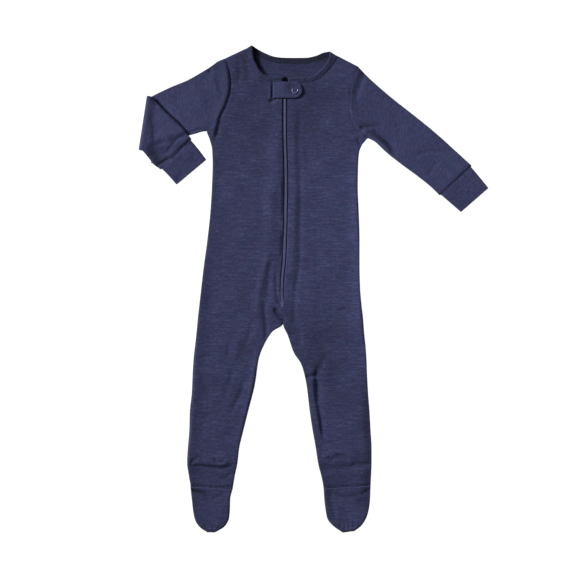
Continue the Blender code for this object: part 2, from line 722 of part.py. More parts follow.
def build_guard():
    """The tab that closes over the top of the zip, square at its seam and round at its snap."""
    half = (GUARD.bottom - GUARD.top) / 2
    middle = (GUARD.bottom + GUARD.top) / 2
    straight = np.linspace(GUARD.left, GUARD.right - half, 7)
    turn = np.linspace(0, np.pi / 2, 7)[1:-1]
    x = np.concatenate([straight, GUARD.right - half + half * np.sin(turn), [GUARD.right - 0.1]])
    reach = np.concatenate([np.full(7, half), half * np.cos(turn), [0.13 * half]])
    across = np.array([-1, -0.93, -0.6, 0, 0.6, 0.93, 1])
    down = middle + reach[:, None] * across
    plan = np.stack([np.repeat(x[:, None], len(across), axis=1), down], axis=-1)
    add_panel("zip_guard", plan, guard_face(plan), GUARD.thickness)


def build_snap():
    """The ring of the snap that holds the guard tab."""
    around = np.linspace(0, 2 * np.pi, 16)
    under = np.stack([SNAP.x + SNAP.radius * np.cos(around), SNAP.down + SNAP.radius * np.sin(around)], axis=-1)
    level = guard_face(under).max() + GUARD.thickness + GAP / 2 + SNAP.wire
    bpy.ops.mesh.primitive_torus_add(
        major_radius=(SNAP.radius - SNAP.wire) * MM,
        minor_radius=SNAP.wire * MM,
        major_segments=24,
        minor_segments=6,
        location=row_frame(np.array([SNAP.x, SNAP.down, level])),
    )
    made = bpy.context.object
    mesh = made.data
    place = made.location.copy()
    bpy.data.objects.remove(made)
    mesh.shade_smooth()
    ring = add_object("snap_ring", mesh, PEARL, roughness=0.3)
    ring.location = place


def centre_on_origin():
    """Moves the garment so that the row's origin is at the bottom centre of its box."""
    view = bpy.context.evaluated_depsgraph_get()
    corners = []
    for piece in garment.objects:
        if piece.type == "MESH":
            seen = piece.evaluated_get(view)
            corners += [piece.matrix_world @ corner.co for corner in seen.data.vertices]
    corners = np.array(corners)
    middle = (corners.min(axis=0) + corners.max(axis=0)) / 2
    origin.location = (-middle[0], -middle[1], -corners[:, 2].min())


for old in list(bpy.data.objects):
    bpy.data.objects.remove(old)
garment = bpy.data.collections.new("onesie_pajama")
bpy.context.scene.collection.children.link(garment)
origin = bpy.data.objects.new("origin", None)
garment.objects.link(origin)

build_back()
build_back_binding()
for side, front, foot, binding, outward in (
    ("right", FRONT_RIGHT, FOOT_RIGHT, BINDING_RIGHT, -1),
    ("left", FRONT_LEFT, FOOT_LEFT, BINDING_LEFT, 1),
):
    build_front(side, front)
    build_binding(side, front, binding, outward)
    build_foot(side, front, foot)
build_sleeves()
build_cuffs()
build_zip()
build_slider()
build_guard()
build_snap()
bpy.context.view_layer.update()
centre_on_origin()
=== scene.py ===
# A baby's footed onesie pajama in heathered navy knit. It lies flat on its back, its right sleeve folded at
# the elbow.
#
# Sizes are in millimetres. x runs to the wearer's left from the top of the zip, down runs from the higher
# shoulder to the toes and z runs up from the surface. Right and left are the wearer's: right is at -X.

import math
from types import SimpleNamespace

import bmesh
import bpy
import numpy as np
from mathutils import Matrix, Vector


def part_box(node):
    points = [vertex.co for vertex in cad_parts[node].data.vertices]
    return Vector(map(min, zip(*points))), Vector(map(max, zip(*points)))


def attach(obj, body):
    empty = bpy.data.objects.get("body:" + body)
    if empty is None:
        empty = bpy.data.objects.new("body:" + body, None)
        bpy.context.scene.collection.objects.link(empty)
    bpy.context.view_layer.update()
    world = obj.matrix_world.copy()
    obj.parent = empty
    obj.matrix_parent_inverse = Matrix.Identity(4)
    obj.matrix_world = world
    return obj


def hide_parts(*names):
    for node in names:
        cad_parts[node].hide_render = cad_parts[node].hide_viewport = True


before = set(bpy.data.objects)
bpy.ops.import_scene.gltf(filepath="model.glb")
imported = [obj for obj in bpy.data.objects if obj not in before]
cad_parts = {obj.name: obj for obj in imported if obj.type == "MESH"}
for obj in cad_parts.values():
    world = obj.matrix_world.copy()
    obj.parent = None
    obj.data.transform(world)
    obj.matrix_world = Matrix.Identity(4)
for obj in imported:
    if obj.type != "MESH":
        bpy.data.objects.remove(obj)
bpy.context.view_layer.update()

mm = 0.001
print("frame loaded:", len(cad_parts), "nodes")

cloth = {
    "ply": 1.2,  # one ply of the knit
    "seamGap": 0.3,  # between pieces that lie on each other
    "sewn": -0.25,  # pieces that are sewn together run into each other by this
    "step": 1.35,  # grid spacing of a finished piece
    "pathParts": 6,  # points to each row of a table, on lines that distances are measured to
    "gridParts": 24,  # the same, to space the rows of a grid evenly
}
halfPly = cloth["ply"] / 2
underFront = cloth["ply"] + cloth["seamGap"]  # underside of the front where it is closed against the back
plies = underFront + cloth["ply"]  # back and front lying flat on each other


def table(names, *rows):  # each row holds a point (x, down) of every edge that is named
    numbers = np.array(rows, dtype=float)
    return SimpleNamespace(**{name: numbers[:, 2 * i:2 * i + 2] for i, name in enumerate(names.split())})


# Each front from the shoulder to the ankle: outer edge (armhole, side), inner edge (neck, zip, inside leg).
frontRight = table(
    "outer inner",
    (-83.3, 17.9, -55.0, 4.6), (-80.0, 29.4, -50.6, 19.4), (-77.2, 42.0, -46.2, 30.8),
    (-76.2, 53.2, -40.6, 39.9), (-77.0, 64.4, -32.9, 46.9), (-80.5, 77.0, -22.4, 50.8),
    (-86.8, 92.4, -3.7, 51.8), (-95.5, 107.5, -3.7, 71.4), (-109.2, 119.6, -3.7, 92.4),
    (-105.7, 130.2, -3.6, 112.0), (-101.9, 145.6, -3.2, 134.4), (-101.1, 166.6, -2.4, 159.6),
    (-102.2, 198.8, -1.9, 196.0), (-104.3, 232.4, -2.1, 232.4), (-108.5, 271.6, -3.0, 271.6),
    (-113.4, 308.0, -4.8, 305.2), (-116.9, 337.4, -6.9, 327.6), (-119.7, 362.6, -7.1, 348.0),
    (-121.8, 380.8, -3.2, 366.8), (-123.2, 396.2, -2.9, 388.5), (-125.3, 415.8, -17.4, 399.7),
    (-127.4, 434.0, -28.6, 417.2), (-128.8, 453.6, -36.3, 436.8), (-130.2, 484.4, -41.9, 473.2),
    (-133.0, 512.4, -51.0, 509.6), (-133.7, 537.6, -58.0, 537.6), (-135.8, 562.8, -63.9, 562.8),
    (-136.8, 582.4, -66.4, 583.8), (-134.4, 600.6, -70.2, 602.0), (-131.6, 616.0, -73.0, 619.5),
)
frontLeft = table(
    "outer inner",
    (102.2, 29.6, 73.4, 14.6), (96.6, 42.0, 69.6, 23.4), (93.1, 56.0, 63.9, 30.6), (91.0, 70.0, 57.0, 38.8),
    (90.4, 82.6, 47.8, 46.2), (91.0, 95.2, 34.0, 51.6), (93.8, 107.8, 3.6, 52.9), (100.8, 119.7, 3.5, 72.8),
    (114.8, 128.8, 3.3, 92.4), (107.8, 138.6, 3.1, 114.8), (103.6, 149.8, 3.2, 134.4),
    (102.2, 168.0, 4.1, 159.6), (101.7, 198.8, 4.9, 196.0), (103.1, 232.4, 4.2, 232.4),
    (104.2, 271.6, 3.0, 271.6), (104.2, 308.0, 1.4, 305.2), (105.0, 338.8, -1.0, 327.6),
    (107.0, 362.6, -1.9, 348.0), (109.1, 380.8, -2.9, 366.8), (110.6, 400.4, -2.6, 388.5),
    (112.6, 420.0, 4.2, 406.0), (114.0, 439.6, 11.9, 428.4), (114.7, 459.2, 23.1, 446.6),
    (116.1, 484.4, 29.8, 473.2), (118.2, 512.4, 34.3, 509.6), (119.6, 537.6, 38.5, 537.6),
    (121.0, 562.8, 43.0, 562.8), (121.0, 582.4, 46.2, 583.8), (120.3, 600.6, 50.8, 602.0),
    (119.6, 614.6, 54.3, 618.8),
)
rowsAt = {"zipTop": 6, "armpit": 8, "crotch": 19}  # rows of both fronts where an edge changes its kind

# The free edge of the neck binding, a row for each row of the front at the neck seam.
bindingRight = table(
    "free",
    (-46.2, -0.7), (-43.8, 17.0), (-39.6, 26.8), (-34.6, 36.0), (-28.4, 40.9), (-19.6, 43.2), (-4.6, 43.6),
)
bindingLeft = table(
    "free",
    (62.3, 8.0), (61.6, 16.8), (57.2, 25.2), (50.6, 33.3), (42.8, 40.0), (32.0, 44.6), (4.9, 45.6),
)
bindingBack = table(
    "free seam",
    (-46.2, -0.4, -54.8, 4.9), (-39.5, 4.2, -45.0, 10.6), (-27.0, 10.9, -31.2, 18.6),
    (-14.6, 15.4, -17.0, 23.8), (-2.0, 16.9, -2.0, 25.6), (13.6, 17.1, 13.6, 25.8),
    (29.3, 16.9, 29.3, 25.6), (41.7, 14.7, 44.2, 23.2), (54.3, 9.7, 59.4, 17.6), (62.3, 8.2, 73.2, 14.8),
)

# Foot uppers, from the ankle seam to the toe.
footRight = table(
    "outer inner",
    (-132.2, 616.6, -73.4, 620.1), (-130.2, 634.2, -76.5, 634.2), (-128.5, 649.6, -76.9, 648.2),
    (-125.6, 662.9, -78.2, 660.8), (-118.7, 673.2, -84.2, 671.8), (-108.2, 680.2, -96.2, 679.4),
)
footLeft = table(
    "outer inner",
    (119.6, 615.2, 53.9, 619.4), (118.9, 632.8, 54.9, 634.2), (117.6, 645.4, 56.3, 646.8),
    (114.4, 658.0, 59.1, 660.8), (106.9, 670.5, 67.3, 671.2), (96.6, 678.6, 77.6, 678.6),
)

# Sleeves from the armhole to the cuff, and cuffs to the hand: the upper edge, then the armpit's side.
sleeveLeft = table(
    "top low",
    (102.2, 29.6, 114.8, 128.8), (119.0, 47.0, 124.0, 133.2), (148.4, 72.8, 141.4, 149.1),
    (180.6, 98.0, 162.4, 165.9), (211.4, 123.2, 186.2, 183.4), (239.4, 148.4, 204.4, 198.1),
    (260.8, 168.0, 216.2, 209.6),
)
cuffLeft = table("top low", (272.3, 184.4, 232.4, 221.2), (284.2, 199.2, 245.7, 232.8))
sleeveRight = table(
    "top low",
    (-83.3, 17.9, -109.2, 119.6), (-92.5, 21.6, -115.0, 120.2), (-106.4, 31.2, -126.0, 123.4),
    (-135.8, 48.4, -149.8, 130.2), (-161.0, 58.9, -175.0, 137.9), (-187.6, 71.5, -199.2, 147.0),
)
forearmRight = table(  # as it lies once it is folded over, as the cuff after it
    "top low",
    (-168.0, 91.0, -190.0, 157.9), (-149.8, 107.8, -183.6, 166.2), (-130.4, 130.9, -173.4, 173.4),
)
cuffRight = table("top low", (-120.4, 145.6, -162.0, 182.6), (-109.9, 159.6, -151.6, 194.4))
cuff = {"inset": 1.8, "loft": 0.3, "loftReach": 8}  # narrower than the sleeve, and a little fuller
elbow = {  # height of the fold, how it comes to rest, and the points of each edge round its turn
    "axis": 5.2, "drape": 16, "settle": 12, "rounding": 10, "points": 7,
}

zipTape = SimpleNamespace(halfWidth=12, thickness=1.0, slack=0.2, top=47, end=379)
zipCoil = SimpleNamespace(thickness=1.0, rounding=0.4, top=55, end=364)
zipSlider = SimpleNamespace(x=0.0, top=44.5, length=9.5, width=6.0, rise=0.9)
guardTab = SimpleNamespace(left=-17.1, right=23.8, top=51.4, bottom=74.0, thickness=1.6, rise=2.3)
ringSnap = SimpleNamespace(x=14.0, down=63.4, radius=4.6, halfBand=0.8, halfHeight=0.55)
heel = SimpleNamespace(sides=590, arch=20)
bindingThickness = 1.8

# How far the front stands off the back, and how far in from a closed edge it has reached that.
fullness = SimpleNamespace(
    down=(0, 60, 300, 420, 520, 640, 690),
    height=(2.6, 2.9, 2.9, 3.0, 3.1, 3.5, 3.8),
    reach=(3.0, 1.2, 1.1, 1.1, 1.2, 1.6, 4),
)
sleeveFullness = {"height": 2.8, "starts": 90, "blend": 40, "lowest": 250}

sides = (  # onto is the sign that moves an edge of the front inwards, onto its cloth
    SimpleNamespace(
        name="right", front=frontRight, foot=footRight, binding=bindingRight, onto=1, folded=True,
    ),
    SimpleNamespace(
        name="left", front=frontLeft, foot=footLeft, binding=bindingLeft, onto=-1, folded=False,
    ),
)


def ease(t):
    t = np.clip(t, 0, 1)
    return t * t * (3 - 2 * t)


def bulge(away, reach):  # 1 on the spot, and next to nothing at twice the reach
    return np.exp(-((away / reach) ** 2))


def mixed(one, other, share):
    return one * (1 - share) + other * share


def smoothThrough(knots, values, at):  # a smooth curve that doesn't swing past any of the values
    steps = np.diff(knots)
    slopes = np.diff(values) / steps
    tangents = np.concatenate([slopes[:1], np.zeros(len(knots) - 2), slopes[-1:]])
    oneWay = slopes[:-1] * slopes[1:] > 0
    before, after = slopes[:-1][oneWay], slopes[1:][oneWay]
    tangents[1:-1][oneWay] = 2 * before * after / (before + after)
    span = np.clip(np.searchsorted(knots, at, side="right") - 1, 0, len(steps) - 1)
    t = (at - knots[span]) / steps[span]
    rise = values[span + 1] - values[span]
    swing = steps[span] * t * (1 - t) * (tangents[span] * (1 - t) - tangents[span + 1] * t)
    return values[span] + rise * t * t * (3 - 2 * t) + swing


def readLine(points, at):
    knots = np.arange(len(points))
    return np.stack([smoothThrough(knots, values, at) for values in points.T], axis=-1)


def smoothLine(points):
    last = len(points) - 1
    return readLine(points, np.linspace(0, last, last * cloth["pathParts"] + 1))


def lengthAlong(line):
    return np.concatenate([[0], np.cumsum(np.linalg.norm(np.diff(line, axis=0), axis=1))])


def alongLine(line, shares):
    length = lengthAlong(line)
    at = np.asarray(shares) * length[-1]
    return np.stack([np.interp(at, length, values) for values in line.T], axis=-1)


def beside(line, distance):  # moved sideways: a line that runs towards +x moves down
    ahead = np.gradient(line, axis=0)
    ahead /= np.linalg.norm(ahead, axis=1, keepdims=True)
    return line + distance * np.stack([-ahead[:, 1], ahead[:, 0]], axis=-1)


def between(line, top, bottom):  # its points between two depths
    return line[(line[:, 1] > top) & (line[:, 1] < bottom)]


def pointAtDown(line, down):  # for a line that runs down there
    run = between(line, down - 50, down + 50)
    return np.array([np.interp(down, run[:, 1], run[:, 0]), down])


def segments(points, line):  # each part of a line: how far off the points are, and how far along it
    for start, end in zip(line[:-1], line[1:]):
        run = end - start
        offset = points - start
        share = np.clip(offset @ run / (run @ run), 0, 1)
        away = np.hypot(offset[:, 0] - share * run[0], offset[:, 1] - share * run[1])
        yield away, share, offset, run


def measureTo(points, line):  # distance to a line, which side of it, and how far along it
    nearest = np.full(len(points), np.inf)
    side = np.zeros(len(points))
    along = np.zeros(len(points))
    for (away, share, offset, run), before in zip(segments(points, line), lengthAlong(line)):
        closer = away < nearest
        nearest[closer] = away[closer]
        side[closer] = np.sign(run[0] * offset[closer, 1] - run[1] * offset[closer, 0])
        along[closer] = before + share[closer] * np.hypot(*run)
    return nearest, side, along


def distanceTo(points, lines):
    nearest = np.full(len(points), np.inf)
    for line in lines:
        for away, *_ in segments(points, line):
            np.minimum(nearest, away, out=nearest)
    return nearest


def near(points, line, reach):  # which points lie in a box round a line
    low, high = line.min(axis=0) - reach, line.max(axis=0) + reach
    return ((points > low) & (points < high)).all(axis=1)


def panelEdges(rows):
    return smoothLine(rows.outer), smoothLine(rows.inner)


def partOfEdge(edge, first=0, last=None):  # between two rows of its table
    parts = cloth["pathParts"]
    return smoothLine(edge)[parts * first: parts * last + 1 if last else None]


def armhole(front):
    return partOfEdge(front.outer, last=rowsAt["armpit"])


def sideSeam(front):
    return partOfEdge(front.outer, first=rowsAt["armpit"])


def neckSeam(front):
    return partOfEdge(front.inner, last=rowsAt["zipTop"])


def zipEdge(front):
    return partOfEdge(front.inner, rowsAt["zipTop"], rowsAt["crotch"])


def insideLeg(front):
    return partOfEdge(front.inner, first=rowsAt["crotch"])


creaseTop, creaseLow = sleeveRight.top[-1], sleeveRight.low[-1]
creaseAlong = (creaseLow - creaseTop) / np.linalg.norm(creaseLow - creaseTop)
creaseOut = np.array([-creaseAlong[1], creaseAlong[0]])
turnLength = np.pi * (elbow["axis"] - plies / 2)  # cloth taken up by the turn, at mid thickness
armpitRight = sleeveRight.low[0]


def unfolded(points):  # where a place on the folded forearm lies once the sleeve is straight
    out = (points - creaseTop) @ creaseOut
    return points + np.outer(turnLength - 2 * out, creaseOut)


def straightSleeveRight():
    turned = np.linspace(0, turnLength, elbow["points"])[1:, None] * creaseOut
    pairs = (sleeveRight.top, forearmRight.top), (sleeveRight.low, forearmRight.low)
    return [np.concatenate([upper, upper[-1] + turned, unfolded(fore)]) for upper, fore in pairs]


def withCuffSeam(cuffEdges, sleeveEdges):  # a cuff's two edges, started at the end of the sleeve's
    top, low = sleeveEdges[0][-1], sleeveEdges[1][-1]
    across = (low - top) / np.linalg.norm(low - top)
    ahead = np.array([across[1], -across[0]])
    ahead *= np.sign((cuffEdges[0][0] - top) @ ahead)
    inset = across * cuff["inset"]
    starts = top + inset + ahead * cloth["sewn"], low - inset + ahead * cloth["sewn"]
    return [np.concatenate([[start], edge]) for start, edge in zip(starts, cuffEdges)]


sleeves = {"left": [sleeveLeft.top, sleeveLeft.low], "right": straightSleeveRight()}
cuffs = {
    "left": withCuffSeam([cuffLeft.top, cuffLeft.low], sleeves["left"]),
    "right": withCuffSeam([unfolded(cuffRight.top), unfolded(cuffRight.low)], sleeves["right"]),
}
wrists = {side: np.array([edge[-1] for edge in edges]) for side, edges in sleeves.items()}


def closedEdges():  # where front and back are joined
    lines = []
    for side in sides:
        shoulder = np.array([side.front.outer[0], side.front.inner[0], side.binding.free[0]])
        footEdges = panelEdges(side.foot)
        toe = np.array([edge[-1] for edge in footEdges])
        lines += [shoulder, sideSeam(side.front), insideLeg(side.front), *footEdges, toe]
    for edges in (*sleeves.values(), *cuffs.values()):
        lines += edges
    return lines


closedLines = closedEdges()


def zipMiddle(down):
    right, left = zipEdge(frontRight), zipEdge(frontLeft)
    return (np.interp(down, right[:, 1], right[:, 0]) + np.interp(down, left[:, 1], left[:, 0])) / 2


def besideZip(offset, top, end, step=10):
    down = np.linspace(top, end, max(round((end - top) / step), 1) + 1)
    return np.stack([zipMiddle(down) + offset, down], axis=-1)


# Creases and soft folds where they lie: height (a trough is negative), its reach to the right and to the left
# hand of one who walks along it on the cloth as the camera sees it, then its route.
creases = [
    # beside the zip
    (-0.51, 3.2, 4, [(19.6, 81.2), (20.3, 110.6), (19.7, 166.6)]),
    (-0.9, 3, 3.6, [
        (21.7, 156.8), (21.7, 184.8), (21.7, 215.6), (21, 260.4), (20.4, 302.5), (14.7, 341.7),
        (12.6, 376.7), (11.2, 404.7)
    ]),
    (-0.72, 4, 5, [(12.8, 366.5), (17.7, 397.3), (23.3, 429.5)]),
    (-2.52, 8, 6, [
        (117.6, 464.8), (118, 495.6), (119.4, 537.6), (120.8, 572.6), (119.7, 607.6), (117.6, 635.6),
        (113.4, 656.6)
    ]),
    (-0.51, 3, 7, [(25.7, 120.2), (29.9, 145.4), (33.4, 170.6)]),
    (-1.89, 13, 13, [(25.2, 71.4), (56, 81.2), (91, 92.4)]),
    (1.74, 8.5, 9, [
        (-8.4, 106.4), (-10.5, 145.6), (-13.3, 184.8), (-20.3, 219.8), (-20.3, 254.8), (-22.4, 285.6)
    ]),
    (1.3, 4.5, 5, [(-21, 281.9), (-25.9, 302.9), (-33.6, 332.2), (-37.8, 360), (-38.5, 380.9)]),
    (-0.94, 4, 4.5, [(-18.4, 294.2), (-21.9, 325), (-24.7, 348.8), (-25.5, 366.9)]),
    (-1.74, 3.2, 3.2, [(-28.7, 355.6), (-28, 376.5), (-25.9, 394.8), (-27.2, 418.7)]),
    (-0.87, 2, 2.2, [(-13.1, 310.8), (-12.4, 334.5), (-9, 355.4), (-4.2, 373.6)]),
    (0.36, 4, 3, [(-15.6, 302.5), (-17.8, 334.6), (-14.4, 363.8)]),
    (-5.62, 3, 3, [(-14.9, 366.4), (-7.8, 375.5), (0.6, 387.4)]),
    (-2.53, 2.4, 2.4, [(-22.9, 79.1), (-18.7, 78), (-11, 75.9)]),
    (-2.04, 1.3, 1.3, [(-17.9, 48.3), (-17.9, 77)]),
    (1.09, 1.5, 1.4, [(-20.6, 47.6), (-20.6, 75.6)]),
    (1.1, 8, 4.2, besideZip(12, 72, 345, 30)),
    (0.7, 8, 2.2, besideZip(-5, 76, 300, 30)),
    (-1.6, 1.5, 1.5, besideZip(-4, 180, 248, 30)),
    (-1.6, 1.5, 1.5, besideZip(-3.8, 258, 298, 30)),
    # shoulders and neck
    (-0.87, 4, 3, [(-64.6, 16.7), (-63.3, 36.5), (-66, 56.3)]),
    (-0.58, 4, 3, [(-54.3, 19.4), (-51.4, 39.1), (-52.7, 56.2)]),
    (-0.58, 2, 3, [(79.1, 11.8), (69.4, 23), (62.3, 32.8), (52.5, 42.7)]),
    (1.92, 14, 8, [(-47.6, -4.2), (-42.7, 15.4), (-34.3, 32.9), (-23.8, 44.1)]),
    (1.16, 8, 3, [(-99.5, 38.7), (-96.8, 58), (-90.5, 76)]),
    (-2.38, 2.6, 2.6, [(-107.7, 27.6), (-102.1, 39.5)]),
    (2.04, 9, 2, [
        (-84.8, 11.2), (-79.7, 36.4), (-78.1, 53.2), (-79.2, 65.8), (-83.2, 78.4), (-89.2, 92.4),
        (-95.9, 106.4)
    ]),
    (1.59, 5, 2.1, [(-91.3, 92.4), (-95.8, 109.2), (-99.4, 121.8), (-101.1, 134.4)]),
    (-1.3, 2, 4, [(-91.3, 102.2), (-93.8, 116.2), (-96, 130.2)]),
    (-2.04, 7.5, 4, [(114.8, 22.4), (111.3, 39.2), (105.7, 53.2), (100.8, 67.2), (98, 81.2)]),
    (0.72, 2.2, 13, [(97.3, 36.4), (93.8, 58.8), (92.4, 84), (95.2, 109.2)]),
    # armpits and left sleeve
    (-2.48, 3, 2.5, [(104.2, 113.9), (110.6, 115.7), (120.5, 114.5)]),
    (-0.86, 3, 2.5, [(116.3, 115), (127.5, 112.7), (137.3, 111.3)]),
    (3.36, 3.2, 2.3, [(107.8, 119.4), (114.8, 123.2), (124.6, 129.2), (137.2, 139.6), (150.2, 151.2)]),
    (-2.52, 2.6, 3.4, [(120.4, 117.6), (131, 124.9), (143.4, 135), (154.7, 146.4)]),
    (-1.67, 2.2, 2.2, [(99.9, 129.9), (106.9, 140.4)]),
    (1.57, 6, 5, [(108.1, 118.6), (115.1, 123.5)]),
    (-0.93, 3, 3, [(178.5, 159.3), (189.3, 151.5), (208.6, 148.3), (236.6, 150.3)]),
    (-0.58, 3, 3, [(215.4, 159.1), (205.7, 171.6), (199.4, 184.1)]),
    (1.45, 9, 3.2, [(259.1, 165.4), (239.5, 184.3), (216.4, 206.7)]),
    (-0.58, 5, 5, [(151.3, 91.7), (160, 111.5), (163.1, 132.7)]),
    (-1.16, 3, 3, [(223.5, 206.8), (217.9, 211.7)]),
    # sides of the body
    (0.87, 1.5, 6, [(-100, 145.6), (-99.7, 166.6), (-100.9, 201.6), (-102.6, 236.6)]),
    (1.8, 1.5, 10, [
        (-102.5, 222.6), (-107.2, 271.6), (-112.3, 308), (-116.8, 341.6), (-120.4, 383.6), (-123.8, 425.6),
        (-126.1, 467.6), (-128.5, 509.6), (-131.3, 551.6), (-133.8, 579.6), (-132.3, 607.6), (-128.1, 635.6),
        (-126.7, 658)
    ]),
    (2.03, 8, 1.5, [
        (101.4, 140), (100.2, 187.6), (101.6, 243.6), (103.9, 299.6), (105, 355.6), (107.8, 397.6),
        (110.6, 428.4)
    ]),
    # hips and thighs
    (-2.09, 2.2, 2.4, [(70.1, 370.9), (84, 369), (104.4, 381.4)]),
    (-1.57, 2.2, 2.4, [(82.6, 411), (98, 417.2), (113.4, 424.9)]),
    (-0.72, 4, 3.5, [(-42.2, 381.4), (-49.2, 402.4), (-56.9, 426.2)]),
    (-0.65, 3.5, 3.5, [(-73.9, 407.8), (-81.6, 437.2)]),
    (0.58, 4, 4, [(-63.2, 402.1), (-70.2, 441.3)]),
    (-1.09, 4, 3.5, [(-56.2, 463.9), (-61.8, 486.5), (-75.9, 513.3)]),
    (-0.72, 4, 4, [(-70.2, 448.6), (-85.6, 494.8)]),
    (1.92, 6, 1.6, [
        (-34.7, 418.6), (-40.2, 446.6), (-45.4, 474.6), (-53.6, 509.6), (-60.5, 537.6), (-66.6, 565.6)
    ]),
    (-3.33, 2.6, 2.6, [(28.1, 463.4), (36.6, 462.1), (45, 460)]),
    (2.04, 9, 3.2, [(39.5, 442.4), (38.1, 460.6), (38.4, 478.8), (40.9, 501.2), (44.8, 520.8), (49.7, 553)]),
    (-2.03, 2.4, 7, [(46.2, 445.2), (44.2, 463.4), (44.5, 481.6), (46.8, 502.6)]),
    (-1.01, 2, 4, [(46.2, 495.6), (49.4, 520.8), (54, 553)]),
    (-1.16, 4, 5, [(47.7, 453.3), (53.8, 441), (66.3, 425.7)]),
    (-1.04, 6, 6, [(26.9, 397.1), (47.2, 410.8), (59.1, 433.2)]),
    # ankles and feet
    (2.08, 2.5, 9, [(-130.3, 582.6), (-102.2, 585), (-74, 583.2)]),
    (-2.21, 2.8, 3.6, [
        (-137.1, 588.9), (-119, 587.3), (-105.1, 589.2), (-91, 591.6), (-79.5, 589.1), (-65.5, 584.9)
    ]),
    (-1.43, 2.2, 2.4, [(-132.8, 586.6), (-126.7, 579), (-121.1, 575.9), (-110.6, 579)]),
    (-2.09, 2, 2.4, [(-100, 576.7), (-92.4, 582.1), (-82.4, 579.7)]),
    (-0.72, 2.2, 2.4, [(-96.2, 609.8), (-83.5, 604.2), (-72.2, 595.8)]),
    (-5.18, 2.2, 2.8, [(-135.9, 621.9), (-124.7, 624), (-114.8, 626.9), (-103.5, 633.4)]),
    (-0.49, 2.4, 2.8, [(-106.3, 632.8), (-94.9, 631.6), (-85, 626.1), (-73.2, 622.5)]),
    (1.57, 2.5, 9, [(57.6, 571.4), (76.8, 568.3), (102, 575.9)]),
    (-1.02, 2.8, 3.2, [(59.6, 584.2), (69.1, 577.2), (78.3, 575), (91, 581)]),
    (-2.3, 5, 5, [(48.9, 587.3), (70, 590.4), (91.1, 589.2), (121.9, 586.4)]),
    (-1.12, 2.6, 3, [(91.4, 588.3), (102.2, 583.1), (121.7, 586.9)]),
    (1.57, 2.6, 3, [(51.7, 572.3), (61.5, 573.7)]),
    (-0.76, 2.5, 3.5, [(55.9, 626.3), (84, 630.8), (115, 625.4)]),
    (-1.45, 2.6, 2.6, [(105.4, 626.7), (119.4, 620.4)]),
    (-1.01, 3.5, 3.5, [(63.8, 620.1), (65.8, 642.3), (72.5, 660.4)]),
    (-0.72, 1.7, 1.7, [(77, 665.5), (79.1, 674.6)]),
    (-0.72, 1.7, 1.7, [(83.3, 664.2), (84.3, 676.1)]),
    (-0.72, 1.7, 1.7, [(90.1, 664.3), (89.8, 676.2)]),
    (-0.65, 1.7, 1.7, [(96, 663.7), (94.6, 674.9)]),
    (-0.7, 1.9, 1.9, [(-111.4, 667.6), (-107.9, 676.7)]),
    (-0.65, 1.9, 1.9, [(-99.9, 669.2), (-99.9, 677.6)]),
    (-0.58, 1.9, 1.9, [(-90.1, 668.2), (-93.6, 676.6)]),
    # elbow of the right sleeve, on the upper arm
    (-3.24, 3, 3, [(-190.8, 67.6), (-174.7, 82.9), (-157.9, 99.1), (-139, 116.6)]),
    (-3.12, 5, 5, [(-194.6, 64.4), (-184.8, 74.9), (-173.6, 86.1)]),
    (-1.89, 12, 12, [(-189, 70), (-196, 110.6), (-200.2, 148.4)]),
    (-1.16, 1.6, 1.8, [(-138.4, 123.8), (-127.2, 120), (-117.6, 117.8), (-106.4, 118)]),
    (0.74, 7, 7, [(-136.1, 52.3), (-118.6, 71.8), (-112.3, 91.7)]),
    (-0.63, 6, 6, [(-150.3, 63.8), (-145.3, 86), (-132, 102.8)]),
]

# Creases of the forearm and its cuff, given where they lie once the sleeve is folded.
forearmCreases = [
    (-1.16, 3.5, 3.5, [(-181.6, 110.5), (-180.8, 121.9), (-183.1, 134.7)]),
    (-1.92, 7, 15, [(-189, 81.2), (-183.4, 109.2), (-179.9, 131.6), (-178.5, 148.4), (-173.6, 162.4)]),
    (1.74, 3, 5, [(-198.8, 138.6), (-190.4, 151.9), (-179.2, 163.8)]),
    (-0.94, 1.9, 1.9, [
        (-176.9, 152.5), (-166.2, 149.8), (-158.2, 140.6), (-149.3, 130.9), (-139.7, 125.3), (-130.7, 122.4)
    ]),
    (0.65, 2.4, 2.8, [(-167.1, 159.8), (-153.1, 146.5), (-140.6, 134.7), (-129.5, 126.3)]),
    (-2.28, 2.6, 2.6, [(-181.5, 169.6), (-171.7, 164.7), (-159, 156.3)]),
    (-0.72, 2.5, 2.5, [(-138.5, 143), (-127.3, 133.2)]),
    (0.72, 6, 6, [(-140.8, 158.8), (-131, 149)]),
    (-1.01, 5, 5, [(-150.8, 190.6), (-139.6, 178)]),
    (1.13, 6, 6, [(-174.3, 118.3), (-164.1, 128), (-159.3, 136.4)]),
]
foldFade = {"share": 0.28, "tip": 0.15}  # over this share of its length a fold fades to a low tip


def smoothRoute(route):
    route = np.array(route, dtype=float)
    return smoothLine(route) if len(route) > 2 else route


foldRoutes = [(*shape, smoothRoute(route)) for *shape, route in creases]
for height, right, left, route in forearmCreases:
    foldRoutes.append((height, left, right, unfolded(smoothRoute(route))))  # unfolding swaps the sides

seamGrooves = [  # a seam draws the cloth down on both sides of it: depth, reach, then the seam
    (1.5, 1.6, armhole(frontRight)[:-8]),  # it ends above the armpit's own fold
    (0.35, 1.3, armhole(frontLeft)),
    (0.25, 1.5, neckSeam(frontRight)),
    (0.25, 1.5, neckSeam(frontLeft)),
    (0.9, 1.4, np.array([(-132.0, 614.4), (-73.8, 617.6)])),
    (0.9, 1.4, np.array([(119.6, 613.4), (54.5, 617.2)])),
    (0.9, 2.2, wrists["left"]),
    (0.9, 2.2, wrists["right"]),
]

